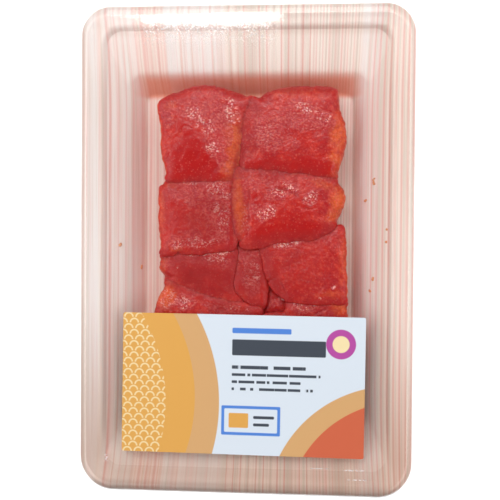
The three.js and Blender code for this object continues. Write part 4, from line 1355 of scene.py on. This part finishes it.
def slice_grid(name, recipe, seed, outline, out, close):
    """A slice as a grid of rings, its points, their colour shares and their painted shade. Its
    relief moves the surface along its normal, and the wrap presses down what rises above
    it. Free edges get a painted orange glow, seams, their sides and the back slopes get
    painted shade, and a seam takes the haze and the painted glints from its sides."""
    bottom, crown = (corner.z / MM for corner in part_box(name))
    grid, scale, edge = slice_block(recipe, seed, outline, out, close, bottom, crown)
    x, y, z = place_of = np.moveaxis(grid, -1, 0)
    tone = tones_at(recipe, x, y, seed)
    moved = slice_relief(recipe, seed, place_of, tone, edge)
    grid = grid + normals_of(grid) * moved[..., None]
    ceiling = wrap_height(grid[..., 0], grid[..., 1]) - UNDER_WRAP
    grid[..., 2] = np.clip(grid[..., 2], bottom, ceiling)

    inward = (1 - scale) * np.linalg.norm(outline - outline.mean(0), axis=1)
    # Painted glow: free edges are tinted orange as if lit through, less at the back, which is in
    # shade
    rim = ease(0.0, 1.0, 1.4 - inward) * ease(edge - 5.0, edge, z)
    rim = rim * (1 - close) * (1 - 0.8 * np.clip(out[:, 1], 0, 1))
    tone[..., 1] = np.maximum(tone[..., 1], EDGE_GLOW * rim)
    # Painted shade in the seams between slices; an edge that catches the light keeps a painted
    # glint
    fold = close * ease(edge + 0.8, edge - 0.1, grid[..., 2])
    fold = fold * (0.7 + 0.3 * noise(seed + 70, x / 2.5, y / 2.5))
    caught = spots(recipe.get("ridges", ()), x, y)
    fold = fold * (1 - caught)
    tone[..., (0, 3)] *= (1 - fold)[..., None]
    tone[..., 3] = np.maximum(tone[..., 3], caught)
    # Painted shade beside the seams, and on the slopes at the back
    near = close * ease(3.2, 0.2, inward) * ease(edge - 1.0, edge, z)
    near = near * (0.75 + 0.25 * noise(seed + 80, x / 2.0, y / 2.0)) * (1 - caught)
    behind = np.clip(out[:, 1], 0, 1) * (1 - close) * ease(crown - 0.1, crown - 1.8, z)
    # Dark spots: darker flesh, and painted shade in the gaps between slices
    dark = spots(recipe["dark"], x, y, 0.3, 1.4)
    dark = dark * (0.9 + 0.3 * noise(seed + 90, x / 3.2, y / 3.2))
    shade = np.max([
        SEAM_SHADE * fold, BESIDE_SEAM_SHADE * near, DARK_SHADE * dark, BACK_SHADE * behind,
    ], 0)
    ends = [[tone[i].mean(0)] for i in (0, -1)]
    tone = np.concatenate([ends[0], tone.reshape(-1, 4), ends[1]])
    shade = np.concatenate([[shade[0].mean()], shade.ravel(), [shade[-1].mean()]])
    return grid, closed_points(grid), tone, shade


def tones_at(recipe, x, y, seed):
    """The four colour shares at a place on a slice, with edges bent by noise."""
    bent_x = x + 1.3 * rough(seed + 50, 4.0, x, y)
    bent_y = y + 1.3 * rough(seed + 60, 4.0, x, y)
    tone = np.stack([
        spots(recipe[key], bent_x, bent_y, *shares) for key, shares in TONES.items()
    ], -1)
    tone[..., 2] = np.clip(tone[..., 2], 0, 1)
    tone[..., 0] *= 1 - tone[..., 2]
    return tone


class ROE_TRAY_OT_slices(bpy.types.Operator):
    """Make the slices of roe"""

    bl_idname = "roe_tray.slices"
    bl_label = "Roe Slices"

    def execute(self, context):
        material = roe_material(context.scene.roe_tray_roe)
        edges = [slice_outline(recipe, 100 * i) for i, recipe in enumerate(SLICES.values())]
        for i, (name, recipe) in enumerate(SLICES.items()):
            outline, out = edges[i]
            close = closeness(outline, [edge[0] for edge in edges[:i] + edges[i + 1:]])
            grid, points, tone, shade = slice_grid(name, recipe, 100 * i, outline, out, close)
            faces = closed_faces(*grid.shape[:2])
            made = mesh_object(
                name.replace("roe_", "roe_slice_"), points, faces, tone=tone, shade=shade)
            made.data.materials.append(material)
            place(made, name)
        return {"FINISHED"}


def crumb_shape(floor):
    """Points and faces of all crumbs. Each crumb is a few eggs: spheres pushed together, one
    egg high, whose lower quarter sinks into the floor at its nearest point."""
    random = np.random.default_rng(5)
    turn = np.linspace(0, 2 * math.pi, CRUMB_TURNS, endpoint=False)
    tilt = np.linspace(0, math.pi, CRUMB_TILTS)[1:-1]
    ball = np.stack([
        np.sin(tilt)[:, None] * np.cos(turn), np.sin(tilt)[:, None] * np.sin(turn),
        np.repeat(np.cos(tilt)[:, None], len(turn), 1),
    ], -1)
    ball_points = closed_points(ball)
    ball_points[0] = (0, 0, 1)
    ball_points[-1] = (0, 0, -1)
    ball_faces = closed_faces(*ball.shape[:2])
    points, faces = [], [[], [], []]
    for x, y, length in CRUMBS:
        eggs = max(2, round(length * CRUMB_EGGS_PER_MM))
        for i in range(eggs):
            radius = random.uniform(*CRUMB_RADIUS)
            at_x = x + random.uniform(-CRUMB_OFF_LINE, CRUMB_OFF_LINE)
            at_y = y + (i / (eggs - 1) - 0.5) * (length - 2 * radius)
            nearest = floor[np.argmin(np.hypot(floor[:, 0] - at_x, floor[:, 1] - at_y))]
            centre = np.array([at_x, at_y, nearest[2] + radius * 0.5])
            lumps = 1 + 0.12 * noise(i + 3, *(ball_points.T * 2))
            start = len(points) * len(ball_points)
            points.append(ball_points * lumps[:, None] * radius + centre)
            for group, part in zip(faces, ball_faces):
                group.append(part + start)
    return np.concatenate(points), [np.concatenate(group) for group in faces]


class ROE_TRAY_OT_crumbs(bpy.types.Operator):
    """Make the crumbs of roe that lie on the tray"""

    bl_idname = "roe_tray.crumbs"
    bl_label = "Roe Crumbs"

    def execute(self, context):
        grid, lip = tray_grid(context.scene.roe_tray_foam)
        made = mesh_object("roe_crumbs", *crumb_shape(grid[:lip].reshape(-1, 3)))
        made.data.materials.append(crumb_material(context.scene.roe_tray_roe))
        place(made, None)
        return {"FINISHED"}


# Wrap


def wrap_stations():
    """Stations of the sheet over the tray, from its middle to the crest of the rim, and of
    the sides: stretched over the bead, drawn in straight to the foot, and gathered under it
    to a narrow closed fold."""
    crest = np.array((*crest_half(), *[r - CREST_INSET for r in RIM_RADII], RIM_Z + WRAP_AWAY))
    sheet = [(*crest[:4] * share, 0) for share in np.linspace(0.01, 1, 96)[:-1]]
    foot = [half + FOOT_SPREAD for half in FLOOR[:2]]
    radius = FLOOR[2] + FOOT_SPREAD
    corners = [
        crest,
        *bead_stations(WRAP_AWAY),
        (*[half + HEEL_RISE + WRAP_AWAY for half in foot], radius, radius, HEEL_RISE),
        (*[half + WRAP_AWAY for half in foot], radius, radius, WRAP_UNDER),
        (3.0, 40.0, 2.0, 2.0, WRAP_UNDER),
        (0.3, 38.0, 0.1, 0.1, WRAP_UNDER + 0.2),
    ]
    return sheet, rounded(corners, WRAP_ROUNDING, 7, 1.2)


def wrap_grid():
    """The wrap as a grid of rings. Its sheet ripples beside the back rim. The sides hang
    slack, by noise, with pleats at the corners, by a sine of the turn round the foot's
    corner. The fold underneath is uneven."""
    sheet, side = wrap_stations()
    stations = np.concatenate([sheet, side])
    grid = rings(stations, 16, (76, 112))
    lean(grid, stations[:, 1])
    count = len(sheet)
    x, y = grid[:count, :, 0], grid[:count, :, 1]
    back = crest_half()[1]
    ripple = 0.012 * noise(71, x / 2.4, y / 2.8) + 0.006 * noise(72, x / 1.1, y / 1.3)
    ripple *= ease(back - 16.0, back - 9.0, y) * ease(back - 4.5, back - 7.5, y)
    grid[:count, :, 2] = wrap_height(x, y) + ripple

    x, y, z = np.moveaxis(grid[count:], -1, 0)
    sides = ease(RIM_Z - 4.0, RIM_Z - 9.0, z) * ease(WRAP_UNDER, WRAP_UNDER + 3.0, z)
    middle_x, middle_y = (half - FLOOR[2] for half in FLOOR[:2])
    turn = np.arctan2(np.abs(y) - middle_y, np.abs(x) - middle_x)
    corner = ease(-0.35, 0.15, turn) * ease(math.pi / 2 + 0.35, math.pi / 2 - 0.15, turn)
    pleats = np.sin(turn * 15 + 2.0 * noise(73, x / 9.0, z / 9.0)) * 0.45 * corner
    slack = 0.25 * rough(74, 14.0, x + z, y + z, z)
    grid[count:] += normals_of(grid)[count:] * (sides * (pleats + slack - 0.35))[..., None]

    x, y, z = np.moveaxis(grid[count:], -1, 0)
    below = ease(HEEL_RISE, WRAP_UNDER, z)
    folds = 0.12 * noise(75, x / 2.0 + y / 30.0, y / 22.0) + 0.08 * noise(76, x / 16.0, y / 1.6)
    grid[count:, :, 2] = np.maximum(z + below * (folds + 0.02), 0.02)
    return grid


class ROE_TRAY_OT_wrap(bpy.types.Operator):
    """Make the clear stretch film round the tray"""

    bl_idname = "roe_tray.wrap"
    bl_label = "Stretch Film"

    def execute(self, context):
        grid = wrap_grid()
        made = mesh_object("film_wrap", closed_points(grid), closed_faces(*grid.shape[:2]))
        made.data.materials.append(stretch_film_material())
        place(made, "film")
        return {"FINISHED"}


# Label


def label_shape(thickness):
    """Points, faces and print places of the label: rings of one rounded rectangle that lie
    on the wrap's upper sheet, with the rim turned down and back to an equal lower face."""
    half_x, half_y = (size / 2 for size in LABEL_SIZE)
    shares = np.linspace(0.01, 1, 40)
    top = [(half_x * s, half_y * s, LABEL_RADIUS * s, LABEL_RADIUS * s, 0) for s in shares]
    grid = rings(top, 6, (56, 34))
    x, y = grid[..., 0].copy(), grid[..., 1].copy()
    centre = (LABEL_LOW + LABEL_HIGH) / 2 / MM
    grid[..., 0] = centre.x + x * math.cos(LABEL_TURN) - y * math.sin(LABEL_TURN)
    grid[..., 1] = centre.y + x * math.sin(LABEL_TURN) + y * math.cos(LABEL_TURN)
    high = wrap_height(grid[..., 0], grid[..., 1]) + LABEL_LIFT
    high = high + LABEL_WAVE * rough(81, 24.0, grid[..., 0], grid[..., 1])
    grid[..., 2] = high + thickness
    under = grid[::-1].copy()
    under[..., 2] -= thickness
    whole = np.concatenate([grid, under])
    flat = np.stack([x + half_x, y + half_y], -1)
    flat = np.concatenate([flat, flat[::-1]]).reshape(-1, 2)
    flat = np.concatenate([[(half_x, half_y)], flat, [(half_x, half_y)]])
    return closed_points(whole), closed_faces(*whole.shape[:2]), flat


class ROE_TRAY_OT_label(bpy.types.Operator):
    """Make the paper label on the film"""

    bl_idname = "roe_tray.label"
    bl_label = "Paper Label"

    def execute(self, context):
        label = context.scene.roe_tray_label
        points, faces, flat = label_shape(label.thickness / MM)
        made = mesh_object("paper_label", points, faces, uv=flat)
        made.data.set_sharp_from_angle(angle=math.radians(40))
        made.data.materials.append(label_material(label))
        place(made, "label")
        return {"FINISHED"}


# Stage


def card_material():
    """Smooth uncoated card, dull and nearly white. A little glow keeps it pale and even up
    to the tray."""
    material, add = new_material("pale_card")
    shader = add("ShaderNodeBsdfPrincipled", {
        "Base Color": linear("FAFAFA"), "Roughness": 0.8,
        "Emission Color": (1, 1, 1), "Emission Strength": 0.35,
    })
    add("ShaderNodeOutputMaterial", {"Surface": shader})
    return material


def studio_world():
    """The room round the tray, by direction: brighter to the sides than to the ends, and
    dark overhead but for a patch of light a little behind, which the film mirrors. The
    patch is found by how far across and behind a direction goes for each step up."""
    world = bpy.data.worlds.new("studio")
    world.use_nodes = True
    world.node_tree.nodes.clear()
    add = functools.partial(add_node, world.node_tree)
    direction = add("ShaderNodeTexCoord", output="Generated")
    across, depth, rise = add("ShaderNodeSeparateXYZ", direction).node.outputs
    across_2 = add("MULTIPLY", across, across)
    flat_2 = add("MULTIPLY_ADD", depth, depth, across_2)
    side = add("DIVIDE", across_2, add("MAXIMUM", flat_2, 0.0001))
    middle = add("fade", rise, 0.35, 0.5)
    ends = add("MULTIPLY", add("SUBTRACT", 1.0, side), add("MULTIPLY_ADD", middle, 0.08, 0.29))
    sides = add("MULTIPLY_ADD", middle, 0.3, 0.6)
    sides = add("MULTIPLY_ADD", add("fade", rise, 0.7, 0.78), 2.1, sides)
    sides = add("MULTIPLY", sides, add("MULTIPLY_ADD", across, -0.15, 1.13))
    room = add("ADD", ends, add("MULTIPLY", side, sides))
    room = add("MULTIPLY", room, add("fade", rise, 0.935, 0.885))

    steep = add("MAXIMUM", rise, 0.01)
    behind = add("DIVIDE", depth, steep)
    beside = add("ABSOLUTE", add("DIVIDE", across, steep))
    patch = add("MULTIPLY", add("fade", behind, 0.165, 0.21), add("fade", beside, 0.45, 0.3))
    patch = add("MULTIPLY", patch, add("fade", rise, 0.88, 0.93))
    bright = add("MULTIPLY_ADD", add("fade", behind, 0.238, 0.25), 1.3, 0.78)
    strength = add("ADD", add("MULTIPLY", patch, bright), room)
    sky = add("ShaderNodeBackground", {"Color": (1, 1, 1), "Strength": strength})
    add("ShaderNodeOutputWorld", {"Surface": sky})
    return world


def light(name, at, towards, size, watts, roll_deg, spread_deg, shape):
    """A flat studio light, placed and aimed in millimetres and turned about its aim."""
    data = bpy.data.lights.new(name, "AREA")
    data.shape = shape
    data.size, data.size_y = (side * MM for side in size)
    data.energy = watts
    data.spread = math.radians(spread_deg)
    made = bpy.data.objects.new(name, data)
    made.location = Vector(at) * MM
    aim = (Vector(towards) - Vector(at)).normalized()
    roll = Quaternion((0, 0, 1), math.radians(roll_deg))
    made.rotation_euler = (aim.to_track_quat("-Z", "Y") @ roll).to_euler()
    bpy.context.scene.collection.objects.link(made)


class ROE_TRAY_OT_stage(bpy.types.Operator):
    """Make the floor, the lights and the camera"""

    bl_idname = "roe_tray.stage"
    bl_label = "Stage"

    def execute(self, context):
        scene = context.scene
        scene.view_settings.view_transform = "Standard"
        camera = bpy.data.objects.new("camera", bpy.data.cameras.new("camera"))
        camera.location = Vector(CAMERA_AT) * MM
        camera.rotation_euler = [math.radians(turn) for turn in CAMERA_TURN_DEG]
        camera.data.lens = CAMERA_LENS
        camera.data.sensor_width = CAMERA_SENSOR
        camera.data.clip_start = CAMERA_CLIP * MM
        scene.collection.objects.link(camera)
        scene.camera = camera

        half = FLOOR_HALF * MM
        mesh = bpy.data.meshes.new("floor")
        mesh.from_pydata(
            [(-half, -half, 0), (half, -half, 0), (half, half, 0), (-half, half, 0)], [],
            [(0, 1, 2, 3)],
        )
        mesh.materials.append(card_material())
        floor = bpy.data.objects.new("floor", mesh)
        scene.collection.objects.link(floor)

        scene.world = studio_world()
        for name, settings in LIGHTS.items():
            light(name, *settings)
        return {"FINISHED"}


class ROE_TRAY_PT_panel(bpy.types.Panel):
    """Lists the pieces of the tray"""

    bl_label = "Roe Tray"
    bl_space_type = "VIEW_3D"
    bl_region_type = "UI"
    bl_category = "Roe Tray"

    def draw(self, context):
        for operator in OPERATORS:
            self.layout.operator(operator.bl_idname)
        for group in GROUPS:
            settings = getattr(context.scene, group)
            for name in settings.__annotations__:
                self.layout.prop(settings, name)


OPERATORS = (
    ROE_TRAY_OT_tray, ROE_TRAY_OT_slices, ROE_TRAY_OT_crumbs, ROE_TRAY_OT_wrap,
    ROE_TRAY_OT_label, ROE_TRAY_OT_stage,
)
GROUPS = {
    "roe_tray_foam": RoeTrayFoam, "roe_tray_roe": RoeTrayRoe, "roe_tray_label": RoeTrayLabel,
}


def register():
    """Registers the settings, the operators and the panel."""
    for kind in (*GROUPS.values(), *OPERATORS, ROE_TRAY_PT_panel):
        bpy.utils.register_class(kind)
    for name, group in GROUPS.items():
        setattr(bpy.types.Scene, name, PointerProperty(type=group))


def unregister():
    """Takes back what register did, in the other order."""
    for name in GROUPS:
        delattr(bpy.types.Scene, name)
    for kind in (ROE_TRAY_PT_panel, *reversed(OPERATORS), *GROUPS.values()):
        bpy.utils.unregister_class(kind)


def main():
    """Makes every piece and the stage."""
    register()
    bpy.ops.roe_tray.tray()
    bpy.ops.roe_tray.slices()
    bpy.ops.roe_tray.crumbs()
    bpy.ops.roe_tray.wrap()
    bpy.ops.roe_tray.label()
    bpy.ops.roe_tray.stage()
    bpy.context.view_layer.update()


if __name__ == "__main__":
    main()
